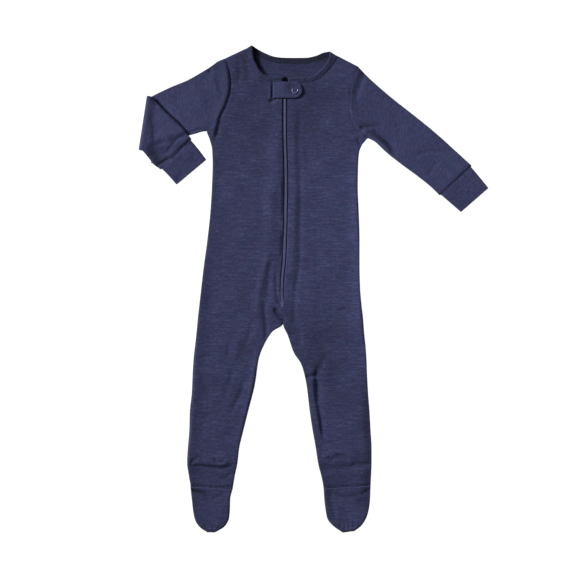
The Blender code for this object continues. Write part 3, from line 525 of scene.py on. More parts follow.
# Puckers where a seam takes up the cloth: height, reach from the seam, spacing, then the seam.
puckers = [
    (0.16, 7.0, 9.0, armhole(frontRight)),
    (0.16, 7.0, 8.0, armhole(frontLeft)),
    (0.14, 5.0, 7.0, neckSeam(frontRight)),
    (0.14, 5.0, 6.5, neckSeam(frontLeft)),
    (0.12, 5.0, 8.5, zipEdge(frontRight)),
    (0.12, 5.0, 7.5, zipEdge(frontLeft)),
    (0.22, 7.0, 6.0, np.array([(-131.6, 616.0), (-73.8, 619.5)])),
    (0.22, 7.0, 6.5, np.array([(119.0, 614.6), (55.0, 618.8)])),
    (0.26, 8.0, 5.5, wrists["left"]),
    (0.26, 8.0, 5.5, wrists["right"]),
]
puckerWaves = {  # two waves on each other, so that no two puckers are alike
    "even": 0.6, "uneven": 0.4, "unevenPace": 0.61, "unevenStart": 1.3, "swell": 0.17,
}
# Long faint waves all over: height, length, phase and slant.
ripples = [(0.16, 61, 0.3, 0.9), (0.09, 33, 1.9, -0.55), (0.05, 17, 4.2, 0.35)]
rippleWander = {"across": (2.2, 61), "down": (1.7, 83)}  # how far the ripples stray, and over what length
endsWithin = {"fold": 3, "pucker": 4}  # reaches out from its line, beyond which nothing is left of it


def foldHeight(points):
    total = np.zeros(len(points))
    for height, right, left, route in foldRoutes:
        close = near(points, route, endsWithin["fold"] * max(right, left))
        if not close.any():
            continue
        away, side, along = measureTo(points[close], route)
        share = along / lengthAlong(route)[-1]
        starts, ends = (ease(part / foldFade["share"] + foldFade["tip"]) for part in (share, 1 - share))
        total[close] += height * starts * ends * bulge(away, np.where(side > 0, right, left))
    for depth, reach, seam in seamGrooves:
        close = near(points, seam, endsWithin["fold"] * reach)
        if close.any():
            total[close] -= depth * bulge(distanceTo(points[close], [seam]), reach)
    waves = puckerWaves
    for height, reach, spacing, seam in puckers:
        close = near(points, seam, endsWithin["pucker"] * reach)
        if not close.any():
            continue
        away, side, along = measureTo(points[close], seam)
        turn = 2 * np.pi * along / spacing + side
        uneven = np.sin(waves["unevenPace"] * turn + waves["unevenStart"]) * np.sin(waves["swell"] * turn)
        wave = waves["even"] * np.sin(turn) + waves["uneven"] * uneven
        total[close] += height * wave * np.exp(-away / reach)
    x, down = points.T
    (strayX, lengthX), (strayDown, lengthDown) = rippleWander.values()
    for height, length, phase, slant in ripples:
        wander = strayX * np.sin(x / lengthX + phase) + strayDown * np.sin(down / lengthDown - phase)
        total += height * np.sin(2 * np.pi * (down + slant * x) / length + wander)
    return total


troughs = {"shallow": 0.2, "closing": 30}  # where a trough levels out, and how fast an edge closes


def lift(plan):  # how far the front is raised off the back
    points = plan.reshape(-1, 2)
    x, down = points.T
    arm = sleeveFullness
    onSleeve = ease((np.abs(x) - arm["starts"]) / arm["blend"]) * (down < arm["lowest"])
    height = np.interp(down, fullness.down, fullness.height) * (1 - onSleeve) + arm["height"] * onSleeve
    inside = np.minimum(distanceTo(points, closedLines) / np.interp(down, fullness.down, fullness.reach), 1)
    rounding = np.sqrt(1 - (1 - inside) ** 2)
    raised = (height + foldHeight(points)) * rounding
    low = troughs["shallow"]
    raised = np.where(raised > low, raised, low * np.exp(np.minimum(raised - low, 0) / low))
    return (raised * np.minimum(inside * troughs["closing"], 1)).reshape(plan.shape[:-1])


def withHeight(plan, z):
    return np.concatenate([plan, z[..., None]], axis=-1)


def foldedOver(points):  # folds the straight right sleeve over its crease and lays the forearm down
    plan, z = points[..., :2], points[..., 2]
    out = (plan - creaseTop) @ creaseOut
    angle = np.clip(out * np.pi / turnLength, 0, np.pi)
    radius = elbow["axis"] - z
    past = np.maximum(out - turnLength, 0)
    newOut = np.where(out > 0, radius * np.sin(angle) - past, out)
    newZ = np.where(out > 0, elbow["axis"] - radius * np.cos(angle), z)
    planNow = plan + (newOut - out)[..., None] * creaseOut
    lowEdge = (creaseLow - armpitRight) / np.linalg.norm(creaseLow - armpitRight)
    beyond = (planNow - armpitRight) @ np.array([lowEdge[1], -lowEdge[0]])
    below = plies * (1 - ease(beyond / elbow["drape"])) + lift(planNow) * ease(-beyond / elbow["rounding"])
    settled = below + cloth["seamGap"] + plies + lift(plan) - 2 * elbow["axis"]
    return withHeight(planNow, newZ + settled * ease(past / elbow["settle"]))


sliderLow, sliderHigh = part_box("zip_slider")  # its middle ties the plan to the frame
planOrigin = np.array([
    (sliderLow.x + sliderHigh.x) / 2 - zipSlider.x * mm,
    (sliderLow.y + sliderHigh.y) / 2 + (zipSlider.top + zipSlider.length / 2) * mm,
    0,
])


def inRow(points):  # millimetres with down, to the frame's metres
    return planOrigin + points * [mm, -mm, mm]


def quads(grid):
    return np.stack([grid[:-1, :-1], grid[1:, :-1], grid[1:, 1:], grid[:-1, 1:]], axis=-1).reshape(-1, 4)


def solidVolume(points, faces):
    a, b, c, d = (points[faces[:, i]] for i in range(4))
    return float(np.einsum("ij,ij->", a, np.cross(b, c)) + np.einsum("ij,ij->", a, np.cross(c, d)))


# Painted shade and painted light by place, as a tone on the knit's colour: down the body, across it, then in
# spots where cloth lies doubled or in a hollow.
paintedShadeDown = ((0, 0.70), (40, 0.80), (120, 0.84), (190, 1.0), (400, 1.0), (480, 0.93))
paintedShadeAcross = ((-119, 0.93), (-77, 0.885), (-35, 0.885), (0, 0.95), (35, 0.97), (63, 1.0), (91, 1.04))
paintedLightAndShadeSpots = [  # x, down, reach across, reach down, tone
    # a tone under 1 is painted shade, over 1 painted light
    (8, 26, 48, 18, 0.85), (92, 36, 18, 16, 1.2), (-106, 26, 14, 9, 0.75), (38, 428, 22, 42, 0.78),
    (62, 405, 30, 24, 0.85), (88, 596, 50, 15, 0.76), (-102, 590, 45, 9, 0.8), (-186, 75, 6, 6, 0.5),
    (-176, 161, 8, 7, 0.55), (-188, 150, 9, 9, 0.8), (-106, 120, 5, 7, 0.84), (-142, 90, 40, 48, 1.25),
    (165, 120, 60, 60, 1.15), (38, 505, 12, 40, 1.05), (90, 40, 25, 14, 1.05), (63, 636, 14, 18, 0.82),
    (232, 205, 22, 22, 0.86), (112, 40, 10, 10, 0.8), (54, 18, 9, 9, 0.55), (88, 76, 14, 18, 0.88),
    (-160, 131, 15, 13, 1.2), (-108, 270, 14, 30, 1.1), (8, 400, 12, 26, 0.84), (63, 440, 18, 50, 0.92),
    (-125, 632, 12, 22, 0.87), (88, 632, 22, 20, 0.9), (30, 85, 30, 55, 0.88), (63, 470, 16, 42, 0.87),
    (62, 615, 14, 16, 0.82), (-102, 600, 40, 14, 0.88), (0, 375, 12, 22, 0.82),
]
edgeShade = [  # edge, how much darker at a depth down the body, reach inwards
    # painted shade that darkens the knit along its seams and edges
    (sideSeam(frontRight), ((0, 0), (200, 0.04), (290, 0.10), (480, 0.13), (620, 0.13)), 7),
    (insideLeg(frontLeft), ((420, 0.12), (620, 0.14)), 7),
    (sideSeam(frontLeft), ((450, 0), (500, 0.28), (620, 0.3)), 7),
    (insideLeg(frontRight), ((470, 0), (500, 0.13), (620, 0.13)), 4),
]
for foot in (footRight, footLeft):
    edgeShade += [(edge, ((610, 0.18), (665, 0.18), (680, 0.4)), 5) for edge in panelEdges(foot)]

creaseShade = [  # how much darker, reach, then the line of a crease that hardly any light gets into
    # painted shade in the creases, and a painted highlight where the value is negative
    (0.2, 3.0, [(119, 119), (126, 124), (134.4, 130.2), (142.8, 137.9), (148.5, 142.5)]),
    (0.4, 3.0, [(131.6, 127.4), (134.4, 130.2), (141, 136)]),
    # painted highlight on the lit fold edge right of the zip
    (-0.22, 2.0, besideZip(4.2, 230, 350)),
    (0.12, 5.0, besideZip(-9.5, 220, 330)),
    (0.2, 4.2, [(106, 109.5), (113, 111.5), (121, 110.5)]),
    (0.2, 5.5, [(103.5, 33), (101, 44), (97.5, 56), (95, 70), (94.5, 86)]),
    (0.4, 4.0, [(105, 32), (107, 37)]),
    (0.2, 4.5, [(-58, 16), (-60.5, 28), (-63, 43)]),
    (0.16, 4.0, [(-51, 30), (-52, 44), (-49, 56)]),
    (0.18, 3.2, [(78.5, 14), (69, 25), (57.5, 38), (42, 46.5)]),
    (0.35, 3.6, [(-130, 621.5), (-113, 624), (-103, 632)]),
    (0.3, 3.5, [(118, 623), (108, 629), (101, 636)]),
    (0.3, 2.2, [(-129, 614.6), (-75, 617)]),
    (0.3, 2.2, [(119, 613.6), (60, 617)]),
]
creaseShade = [(deeper, reach, np.array(line, float)) for deeper, reach, line in creaseShade]


# Painted light and shade: the tone that darkens or lightens the knit's colour at each place.
def paintedLightAndShadeAt(plan):
    x, down = plan[..., 0], plan[..., 1]
    tone = np.interp(down, *zip(*paintedShadeDown)) * np.interp(x, *zip(*paintedShadeAcross))
    for middle, depth, across, along, deeper in paintedLightAndShadeSpots:
        tone = tone * (1 + (deeper - 1) * bulge(x - middle, across) * bulge(down - depth, along))
    for line, darker, reach in edgeShade:
        close = near(plan, line, endsWithin["fold"] * reach)
        away = distanceTo(plan[close], [line])
        tone[close] *= 1 - np.interp(down[close], *zip(*darker)) * np.exp(-((away / reach) ** 1.5))
    for deeper, reach, line in creaseShade:
        close = near(plan, line, endsWithin["fold"] * reach)
        tone[close] *= 1 - deeper * bulge(distanceTo(plan[close], [line]), reach)
    return tone


def putInScene(name, data):
    item = bpy.data.objects.new(name, data)
    bpy.context.scene.collection.objects.link(item)
    return item


def addMesh(name, points, faces, clothUv, material, shade=1.0):
    place = inRow(points)
    if solidVolume(place - place.mean(axis=0), faces) < 0:
        faces, clothUv = faces[:, ::-1], clothUv[:, ::-1]
    mesh = bpy.data.meshes.new(name)
    mesh.from_pydata(place.tolist(), [], faces.tolist())
    layer = mesh.uv_layers.new(name="cloth")
    layer.data.foreach_set("uv", (clothUv * mm).astype(np.float32).ravel())
    # the tone attribute carries painted light and shade onto the colour
    tone = mesh.color_attributes.new("tone", "FLOAT_COLOR", "POINT")
    shades = (paintedLightAndShadeAt(points[:, :2]) * shade)[:, None] * [1, 1, 1, 0] + [0, 0, 0, 1]
    tone.data.foreach_set("color", shades.astype(np.float32).ravel())
    mesh.shade_smooth()
    mesh.materials.append(material)
    return putInScene(name, mesh)


def addRings(name, rings, closed, finish):  # a skin over rings of points, closed round or with two lids
    work = bmesh.new()
    rings = [[work.verts.new(point) for point in inRow(ring)] for ring in rings]
    pairs = list(zip(rings[-1:] + rings[:-1], rings))
    for before, ring in pairs if closed else pairs[1:]:
        for i in range(len(ring)):
            work.faces.new((before[i - 1], before[i], ring[i], ring[i - 1]))
    if not closed:
        work.faces.new(rings[0])
        work.faces.new(rings[-1])
    bmesh.ops.recalc_face_normals(work, faces=work.faces)
    mesh = bpy.data.meshes.new(name)
    work.to_mesh(mesh)
    work.free()
    mesh.materials.append(finish)
    mesh.shade_smooth()
    return putInScene(name, mesh)


# Where the first points lie in from an edge, in half plies: closer together where it is round.
edgeSteps = np.array([0, 0.06, 0.22, 0.5, 0.85, 1.3, 2.0])


def spread(lengths, count, radius):  # shares of each length, with close ones at both ends
    lengths = np.atleast_1d(lengths)[:, None]
    close = radius * edgeSteps[None, :-1]
    last = radius * edgeSteps[-1]
    middle = last + np.linspace(0, 1, count)[None] * (lengths - 2 * last)
    close = np.repeat(close, len(lengths), axis=0)
    return np.concatenate([close, middle, lengths - close[:, ::-1]], axis=1) / lengths


def spreadFrom(length, count, radius):  # shares with close ones at the start only
    shares = spread(length, count, radius)[0][:1 - len(edgeSteps)]
    return shares / shares[-1]


def evenRows(outer, inner, step, radius):  # table positions that are evenly spaced along the piece
    last = len(outer) - 1
    at = np.linspace(0, last, last * cloth["gridParts"] + 1)
    length = lengthAlong((readLine(outer, at) + readLine(inner, at)) / 2)
    shares = spread(length[-1], max(round(length[-1] / step), 3), radius)[0]
    return np.interp(shares * length[-1], length, at)


def gridBetween(outer, inner, radius=halfPly, step=cloth["step"]):
    at = evenRows(outer, inner, step, radius)
    outerLine, innerLine = readLine(outer, at), readLine(inner, at)
    widths = np.linalg.norm(outerLine - innerLine, axis=1)
    shares = spread(widths, max(round(widths.mean() / step), 3), radius)[..., None]
    return mixed(outerLine[:, None], innerLine[:, None], shares)


def bowTo(row, target):  # how far each point of a row is from its place on a line
    shares = np.linalg.norm(row - row[:1], axis=-1)
    return alongLine(target, shares / shares[-1]) - row


def bendRow(plan, row, target, reach):  # bends the rows near one end of a grid to follow a line
    away = np.linalg.norm(plan - plan[row][None], axis=-1).mean(axis=1)
    return plan + (np.clip(1 - away / reach, 0, 1) ** 1.5)[:, None, None] * bowTo(plan[row], target)


def fromEdges(plan):  # distances in from the sides and from the ends of a grid
    across = np.linalg.norm(np.diff(plan, axis=1), axis=-1)
    down = np.linalg.norm(np.diff(plan, axis=0), axis=-1)
    across = np.concatenate([np.zeros((len(plan), 1)), np.cumsum(across, axis=1)], axis=1)
    down = np.concatenate([np.zeros((1, plan.shape[1])), np.cumsum(down, axis=0)])
    return np.minimum(across, across[:, -1:] - across), np.minimum(down, down[-1:] - down)


def rounded(distance, radius):
    return np.sqrt(1 - (1 - np.minimum(distance / radius, 1)) ** 2)


def addPly(name, plan, middle, thickness, material, clothUv=None, shade=None):  # a ply with rounded edges
    sides, ends = fromEdges(plan)
    half = thickness / 2 * rounded(sides, thickness / 2) * rounded(ends, thickness / 2)
    rows, columns = plan.shape[:2]
    over = np.arange(rows * columns).reshape(rows, columns)
    under = over.copy()
    under[1:-1, 1:-1] = rows * columns + np.arange((rows - 2) * (columns - 2)).reshape(rows - 2, columns - 2)
    lower = withHeight(plan, middle - half)[1:-1, 1:-1]
    points = np.concatenate([withHeight(plan, middle + half).reshape(-1, 3), lower.reshape(-1, 3)])
    uv = (plan if clothUv is None else clothUv).reshape(-1, 2)[quads(over)]
    faces = np.concatenate([quads(over), quads(under)[:, ::-1]])
    shades = shade(points[:, :2]) if shade else 1.0
    return addMesh(name, points, faces, np.concatenate([uv, uv[:, ::-1]]), material, shades)


def tubeWalls(plan, fuller):  # outer and inner wall of a tube pressed flat, each row a closed ring
    half = plies / 2
    fromSide, fromEnd = fromEdges(plan)
    roundOff = half * (1 - rounded(fromSide, half))
    top = plies - roundOff + lift(plan) + fuller * ease(fromSide / cuff["loftReach"])
    top[:, [0, -1]] = half
    lower = withHeight(plan, roundOff)[:, -2:0:-1]
    outer = np.concatenate([withHeight(plan, top), lower], axis=1)
    around = np.roll(outer, -1, axis=1) - np.roll(outer, 1, axis=1)
    normal = np.cross(around, np.gradient(outer, axis=0))
    normal /= np.linalg.norm(normal, axis=-1, keepdims=True)
    normal *= np.sign(normal[:, plan.shape[1] // 2, 2]).mean()
    fromEnd = np.concatenate([fromEnd, fromEnd[:, -2:0:-1]], axis=1)
    close = rounded(fromEnd, halfPly)[..., None]
    return outer - normal * halfPly * (1 - close), outer - normal * halfPly * (1 + close)


def addTube(name, plan, material, folded, fuller=0.0):
    outer, inner = tubeWalls(plan, fuller)
    rows, ring = outer.shape[:2]
    grid = np.arange(rows * ring).reshape(rows, ring)
    hidden = grid.copy()
    hidden[1:-1] = rows * ring + np.arange((rows - 2) * ring).reshape(rows - 2, ring)
    points = np.concatenate([outer.reshape(-1, 3), inner[1:-1].reshape(-1, 3)])
    if folded:
        points = foldedOver(points)
    over, under = (quads(np.concatenate([wall, wall[:, :1]], axis=1)) for wall in (grid, hidden))
    steps = np.linalg.norm(np.diff(np.concatenate([outer, outer[:, :1]], axis=1), axis=1), axis=-1)
    girth = np.concatenate([np.zeros((rows, 1)), np.cumsum(steps, axis=1)], axis=1)
    girth -= np.linalg.norm(plan[:, -1] - plan[:, 0], axis=-1)[:, None] / 2
    along = lengthAlong((plan[:, 0] + plan[:, -1]) / 2)[:, None] + 0 * girth
    uv = np.stack([girth, along], axis=-1).reshape(-1, 2)[quads(np.arange(girth.size).reshape(girth.shape))]
    faces = np.concatenate([over, under[:, ::-1]])
    return addMesh(name, points, faces, np.concatenate([uv, uv[:, ::-1]]), material)


def linear(hexColour):
    channels = [int(hexColour[i:i + 2], 16) / 255 for i in (1, 3, 5)]
    return (*[c / 12.92 if c <= 0.04045 else ((c + 0.055) / 1.055) ** 2.4 for c in channels], 1)


def addNode(tree, kind, inputs=None, **settings):  # an input is a value, or a link from a socket
    node = tree.nodes.new(kind)
    for name, value in settings.items():
        setattr(node, name, value)
    for name, value in (inputs or {}).items():
        if isinstance(value, bpy.types.NodeSocket):
            tree.links.new(value, node.inputs[name])
        else:
            node.inputs[name].default_value = value
    return node


def newMaterial(name, **shaderSettings):
    material = bpy.data.materials.new(name)
    material.use_nodes = True
    shader = material.node_tree.nodes["Principled BSDF"]
    for socket, value in shaderSettings.items():
        shader.inputs[socket.replace("_", " ")].default_value = value
    return material, material.node_tree, shader


def colourSteps(tree, factor, *stops):  # a colour ramp from (place, hex colour) pairs
    ramp = addNode(tree, "ShaderNodeValToRGB", {"Fac": factor})
    elements = ramp.color_ramp.elements
    while len(elements) < len(stops):
        elements.new(0.5)
    for element, (place, colour) in zip(elements, stops):
        element.position = place
        element.color = linear(colour)
    return ramp.outputs["Color"]


heatherKnit = {
    "deep": "#212343", "base": "#303253", "light": "#45486D",  # three shades of navy fibre
    "blueTint": "#2C3757", "purpleTint": "#393453", "tintAmount": 0.2, "tintSteps": (0.42, 0.58),
    # Four kinds of unevenness: length along the courses, width across them, detail, and a place of its own.
    "streak": (17, 2.6, 2.0, 3.0),  # a slub of paler fibre runs along a course
    "speck": (4.4, 2.1, 1.0, 11.0),
    "cloud": (38, 26, 2.0, 23.0),
    "tint": (13, 10, 1.0, 31.0),
    "streakShare": 1.1, "cloudShare": 0.5, "darkest": 0.85, "palest": 1.75,  # how they add up to a shade
    "wale": 1.3, "course": 1.1,  # stitch spacing, about twice the real one, which would be too fine to show
    "slant": 2.2, "legs": 0.5,  # how far a stitch's two legs slant, and how much they stand out
    "stitchDepth": 0.12, "slubDepth": 0.25, "ribDepth": 0.22,
}


def knitMaterial(name, look, ribPitch=None):
    # Fine merino jersey: matt, with paler fibres streaked along its courses and a soft bloom of fuzz where it
    # is seen at a slant.
    material, tree, shader = newMaterial(
        name, Roughness=0.93, IOR=1.5, Specular_IOR_Level=0.25,
        Sheen_Weight=0.22, Sheen_Roughness=0.45, Sheen_Tint=linear("#8E92C8"),
    )
    uv = addNode(tree, "ShaderNodeUVMap", uv_map="cloth").outputs["UV"]

    def noiseAlong(length, width, detail, offset):
        place = addNode(tree, "ShaderNodeMapping", {
            "Vector": uv,
            "Scale": (1 / (length * mm), 1 / (width * mm), 1),
            "Location": (offset, offset * 1.7, 0),
        })
        return addNode(
            tree, "ShaderNodeTexNoise",
            {"Vector": place.outputs["Vector"], "Scale": 1.0, "Detail": detail, "Roughness": 0.55},
        ).outputs["Fac"]

    streak, speck, cloud, tint = (noiseAlong(*look[kind]) for kind in ("streak", "speck", "cloud", "tint"))
    fibres = speck
    for noise, share in ((streak, look["streakShare"]), (cloud, look["cloudShare"])):
        fibres = addNode(
            tree, "ShaderNodeMath", {0: noise, 1: share, 2: fibres}, operation="MULTIPLY_ADD"
        ).outputs[0]
    level = addNode(
        tree, "ShaderNodeMapRange", {"Value": fibres, "From Min": look["darkest"], "From Max": look["palest"]}
    ).outputs["Result"]
    shade = colourSteps(tree, level, (0.0, look["deep"]), (0.5, look["base"]), (1.0, look["light"]))
    hue = colourSteps(tree, tint, *zip(look["tintSteps"], (look["blueTint"], look["purpleTint"])))
    colour = addNode(
        tree, "ShaderNodeMix", {0: look["tintAmount"], 6: shade, 7: hue}, data_type="RGBA", blend_type="MIX"
    ).outputs[2]
    # painted light and shade from the tone attribute multiply the colour
    tone = addNode(tree, "ShaderNodeAttribute", attribute_name="tone").outputs["Color"]
    toned = addNode(
        tree, "ShaderNodeMix", {0: 1.0, 6: colour, 7: tone}, data_type="RGBA", blend_type="MULTIPLY"
    )
    tree.links.new(toned.outputs[2], shader.inputs["Base Color"])

    split = addNode(tree, "ShaderNodeSeparateXYZ", {"Vector": uv})

    def rounds(pitch):  # round ridges that run along the length of the cloth
        wave = addNode(
            tree, "ShaderNodeMath", {0: split.outputs["X"], 1: math.pi / (pitch * mm)}, operation="MULTIPLY"
        )
        for operation in ("SINE", "ABSOLUTE"):
            wave = addNode(tree, "ShaderNodeMath", {0: wave.outputs[0]}, operation=operation)
        return wave.outputs[0]

    waleLeg = rounds(look["wale"])
    courseTurn = 2 * math.pi / (look["course"] * mm)
    course = addNode(
        tree, "ShaderNodeMath", {0: split.outputs["Y"], 1: courseTurn, 2: 0.0}, operation="MULTIPLY_ADD"
    )
    slanted = addNode(
        tree, "ShaderNodeMath", {0: waleLeg, 1: look["slant"], 2: course.outputs[0]}, operation="MULTIPLY_ADD"
    )
    courseWave = addNode(tree, "ShaderNodeMath", {0: slanted.outputs[0]}, operation="SINE").outputs[0]
    stitch = addNode(
        tree, "ShaderNodeMath", {0: courseWave, 1: look["legs"], 2: waleLeg}, operation="MULTIPLY_ADD"
    )
    reliefs = [(stitch.outputs[0], look["stitchDepth"]), (fibres, look["slubDepth"])]
    if ribPitch:
        reliefs.append((rounds(ribPitch), look["ribDepth"]))
    facing = {}
    for height, depth in reliefs:
        bump = addNode(
            tree, "ShaderNodeBump", {"Height": height, "Strength": 1.0, "Distance": depth * mm, **facing}
        )
        facing = {"Normal": bump.outputs["Normal"]}
    tree.links.new(facing["Normal"], shader.inputs["Normal"])
    return material


def grainedMaterial(name, steps, scale, depth, stretch=None, **shaderSettings):
    # One fine noise gives both the shades and the relief. Along a cloth it is drawn out by stretch.
    material, tree, shader = newMaterial(name, **shaderSettings)
    if stretch:
        uv = addNode(tree, "ShaderNodeUVMap", uv_map="cloth").outputs["UV"]
        place = addNode(tree, "ShaderNodeMapping", {"Vector": uv, "Scale": stretch}).outputs["Vector"]
    else:
        place = addNode(tree, "ShaderNodeTexCoord").outputs["Object"]
    noise = addNode(tree, "ShaderNodeTexNoise", {"Vector": place, "Scale": scale, "Detail": 2.0})
    bump = addNode(tree, "ShaderNodeBump", {"Height": noise.outputs["Fac"], "Distance": depth * mm})
    tree.links.new(colourSteps(tree, noise.outputs["Fac"], *steps), shader.inputs["Base Color"])
    tree.links.new(bump.outputs["Normal"], shader.inputs["Normal"])
    return material


reliefs = {"tape": 0.1, "thread": 0.05, "enamel": 0.02}  # depth of the finest marks
orangePeel = 900.0  # its scale: a little over a millimetre from dimple to dimple


def threadMaterial(name, dark, light, roughness, grain):
    # Twisted or drawn filament: a slight gloss along each turn, and small changes of shade from turn to turn.
    return grainedMaterial(
        name, ((0.3, dark), (0.7, light)), 1 / (grain * mm), reliefs["thread"],
        Roughness=roughness, IOR=1.53, Specular_IOR_Level=0.4,
    )


def enamelMaterial(name, colour, shade, **gloss):
    # Cast metal under baked enamel: smooth, with its own gloss and faint orange peel.
    steps = ((0.3, shade), (0.7, colour))
    return grainedMaterial(name, steps, orangePeel, reliefs["enamel"], Coat_Roughness=0.15, **gloss)


bodyKnit = knitMaterial("heathered merino jersey", heatherKnit)
sleeveKnit = knitMaterial(
    "heathered merino jersey, sleeves",
    {**heatherKnit, "deep": "#292B4B", "light": "#404367", "streak": (8, 2.7, 2.0, 3.0)},
)
ribKnit = {**heatherKnit, "light": "#3D3E62"}
shadedRib = {
    **heatherKnit, "deep": "#16172D", "base": "#20213A", "light": "#2E304E",
    "blueTint": "#222B42", "purpleTint": "#28273E",
}
cuffKnit = knitMaterial("merino rib", {**ribKnit, "streak": (7, 2.6, 2.0, 3.0)}, ribPitch=1.7)
bindingKnit = knitMaterial("merino rib binding", {**ribKnit, "streak": (6, 2.6, 2.0, 3.0)}, ribPitch=1.9)
innerBinding = knitMaterial("merino rib binding, inner side", shadedRib, ribPitch=1.9)
wovenTape = grainedMaterial(  # tight twill ribs, 4 mm by 0.8 mm, darker and smoother than the knit
    "woven polyester tape", ((0.35, "#14152A"), (0.65, "#22243F")), 1.0, reliefs["tape"],
    stretch=(250, 1200, 1), Roughness=0.8, IOR=1.5, Specular_IOR_Level=0.3,
)
nylonCoil = threadMaterial("dyed nylon coil", "#44476A", "#5E6186", 0.65, 0.8)
sewingThread = threadMaterial("spun polyester thread", "#343659", "#4A4C74", 0.75, 0.5)
coverThread = threadMaterial("fluffed polyester thread", "#3D4069", "#52557D", 0.85, 0.5)
# The slider's near-black, matt finish is partly its own dark enamel and partly painted shade: it stands in
# for the dark gap between the binding ends above the guard.
blackEnamelAndShade = enamelMaterial(
    "zinc in black enamel and painted shade", "#030307", "#020205",
    Roughness=0.95, Metallic=0.0, Coat_Weight=0.0, Specular_IOR_Level=0.05,
)
pearlEnamel = enamelMaterial(
    "pearl enamelled brass", "#5C5F7E", "#4A4D6C", Roughness=0.4, Metallic=0.2, Coat_Weight=0.4
)
print("materials made")


def finishPiece(piece, slot, *nodes):
    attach(piece, "root")
    if nodes:
        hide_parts(*nodes)


def planArea(plan):
    a, b, c, d = plan[:-1, :-1], plan[1:, :-1], plan[1:, 1:], plan[:-1, 1:]
    one, two = c - a, d - b
    return np.abs(one[..., 0] * two[..., 1] - one[..., 1] * two[..., 0]).sum() / 2


def declareSheet(piece, width, length, area):  # the flat cut, worked out from the plan
    width, length, area = width * mm, length * mm, area * mm * mm
    print(f"{piece.name}: cut {width * 1000:.0f} x {length * 1000:.0f} mm, {area * 1e4:.0f} cm2")


def declareCut(piece, plan, layers=1, turnedOver=0.0):
    width = np.linalg.norm(np.diff(plan, axis=1), axis=-1).sum(axis=1).max() * layers + turnedOver
    length = np.linalg.norm(np.diff(plan, axis=0), axis=-1).sum(axis=0).max()
    declareSheet(piece, width, length, planArea(plan) * layers)


def socketId(tree, name):
    return next(item.identifier for item in tree.interface.items_tree if item.name == name)


def rowOfPiecesTree():
    tree = bpy.data.node_groups.new("row of small pieces", "GeometryNodeTree")
    face = tree.interface
    face.new_socket("Geometry", in_out="INPUT", socket_type="NodeSocketGeometry")
    sizes = {"Spacing": 0.003, "Along": 0.002, "Across": 0.0005, "Up": 0.0004, "Turn": 0.0}
    for name, value in sizes.items():
        face.new_socket(name, in_out="INPUT", socket_type="NodeSocketFloat").default_value = value
    face.new_socket("Finish", in_out="INPUT", socket_type="NodeSocketMaterial")
    face.new_socket("Geometry", in_out="OUTPUT", socket_type="NodeSocketGeometry")
    given = addNode(tree, "NodeGroupInput").outputs
    path = addNode(tree, "GeometryNodeMeshToCurve", {"Mesh": given["Geometry"]}).outputs["Curve"]
    points = addNode(
        tree, "GeometryNodeResampleCurve", {"Curve": path, "Length": given["Spacing"]}, mode="LENGTH"
    )
    ball = addNode(tree, "GeometryNodeMeshUVSphere", {"Segments": 6, "Rings": 5, "Radius": 0.5})
    size = addNode(
        tree, "ShaderNodeCombineXYZ", {"X": given["Along"], "Y": given["Across"], "Z": given["Up"]}
    )
    turn = addNode(tree, "ShaderNodeCombineXYZ", {"Z": given["Turn"]})
    bead = addNode(tree, "GeometryNodeTransform", {
        "Geometry": ball.outputs["Mesh"],
        "Scale": size.outputs["Vector"],
        "Rotation": turn.outputs["Vector"],
    })
    tangent = addNode(tree, "GeometryNodeInputTangent").outputs["Tangent"]
    facing = addNode(
        tree, "FunctionNodeAlignRotationToVector", {"Vector": tangent}, axis="X", pivot_axis="Z"
    )
    placed = addNode(tree, "GeometryNodeInstanceOnPoints", {
        "Points": points.outputs["Curve"],
        "Instance": bead.outputs["Geometry"],
        "Rotation": facing.outputs["Rotation"],
    })
    real = addNode(tree, "GeometryNodeRealizeInstances", {"Geometry": placed.outputs["Instances"]})
    smooth = addNode(tree, "GeometryNodeSetShadeSmooth", {"Geometry": real.outputs["Geometry"]})
    done = addNode(
        tree, "GeometryNodeSetMaterial",
        {"Geometry": smooth.outputs["Geometry"], "Material": given["Finish"]},
    )
    addNode(tree, "NodeGroupOutput", {"Geometry": done.outputs["Geometry"]})
    return tree


rowOfPieces = rowOfPiecesTree()


def addRow(name, lines, finish, **sizes):  # small pieces along lines of (x, down, z)
    points, edges = [], []
    for line in lines:
        edges += [(len(points) + i, len(points) + i + 1) for i in range(len(line) - 1)]
        points += inRow(line).tolist()
    mesh = bpy.data.meshes.new(name + "_path")
    mesh.from_pydata(points, edges, [])
    path = putInScene(name + "_path", mesh)
    modifier = path.modifiers.new("row", "NODES")
    modifier.node_group = rowOfPieces
    for label, value in sizes.items():
        modifier[socketId(rowOfPieces, label)] = value if label == "Turn" else value * mm
    modifier[socketId(rowOfPieces, "Finish")] = finish
    bpy.context.view_layer.update()
    made = bpy.data.meshes.new_from_object(path.evaluated_get(bpy.context.evaluated_depsgraph_get()))
    bpy.data.objects.remove(path)
    made.name = name
    return putInScene(name, made)


stitching = {
    "plain": {"Spacing": 2.9, "Along": 2.2, "Across": 0.45, "Up": 0.35},  # beside the zip and the neck's seam
    "cover": {"Spacing": 2.35, "Along": 2.2, "Across": 0.9, "Up": 0.35},  # over the ankle's seam
    "besideZip": 1.7, "besideNeck": 1.4,
    "rise": 0.15,  # of a row, from the cloth to its middle
    "ankle": (0.04, 0.96, 40),  # where the ankle's row starts and ends across the leg, and its points
}


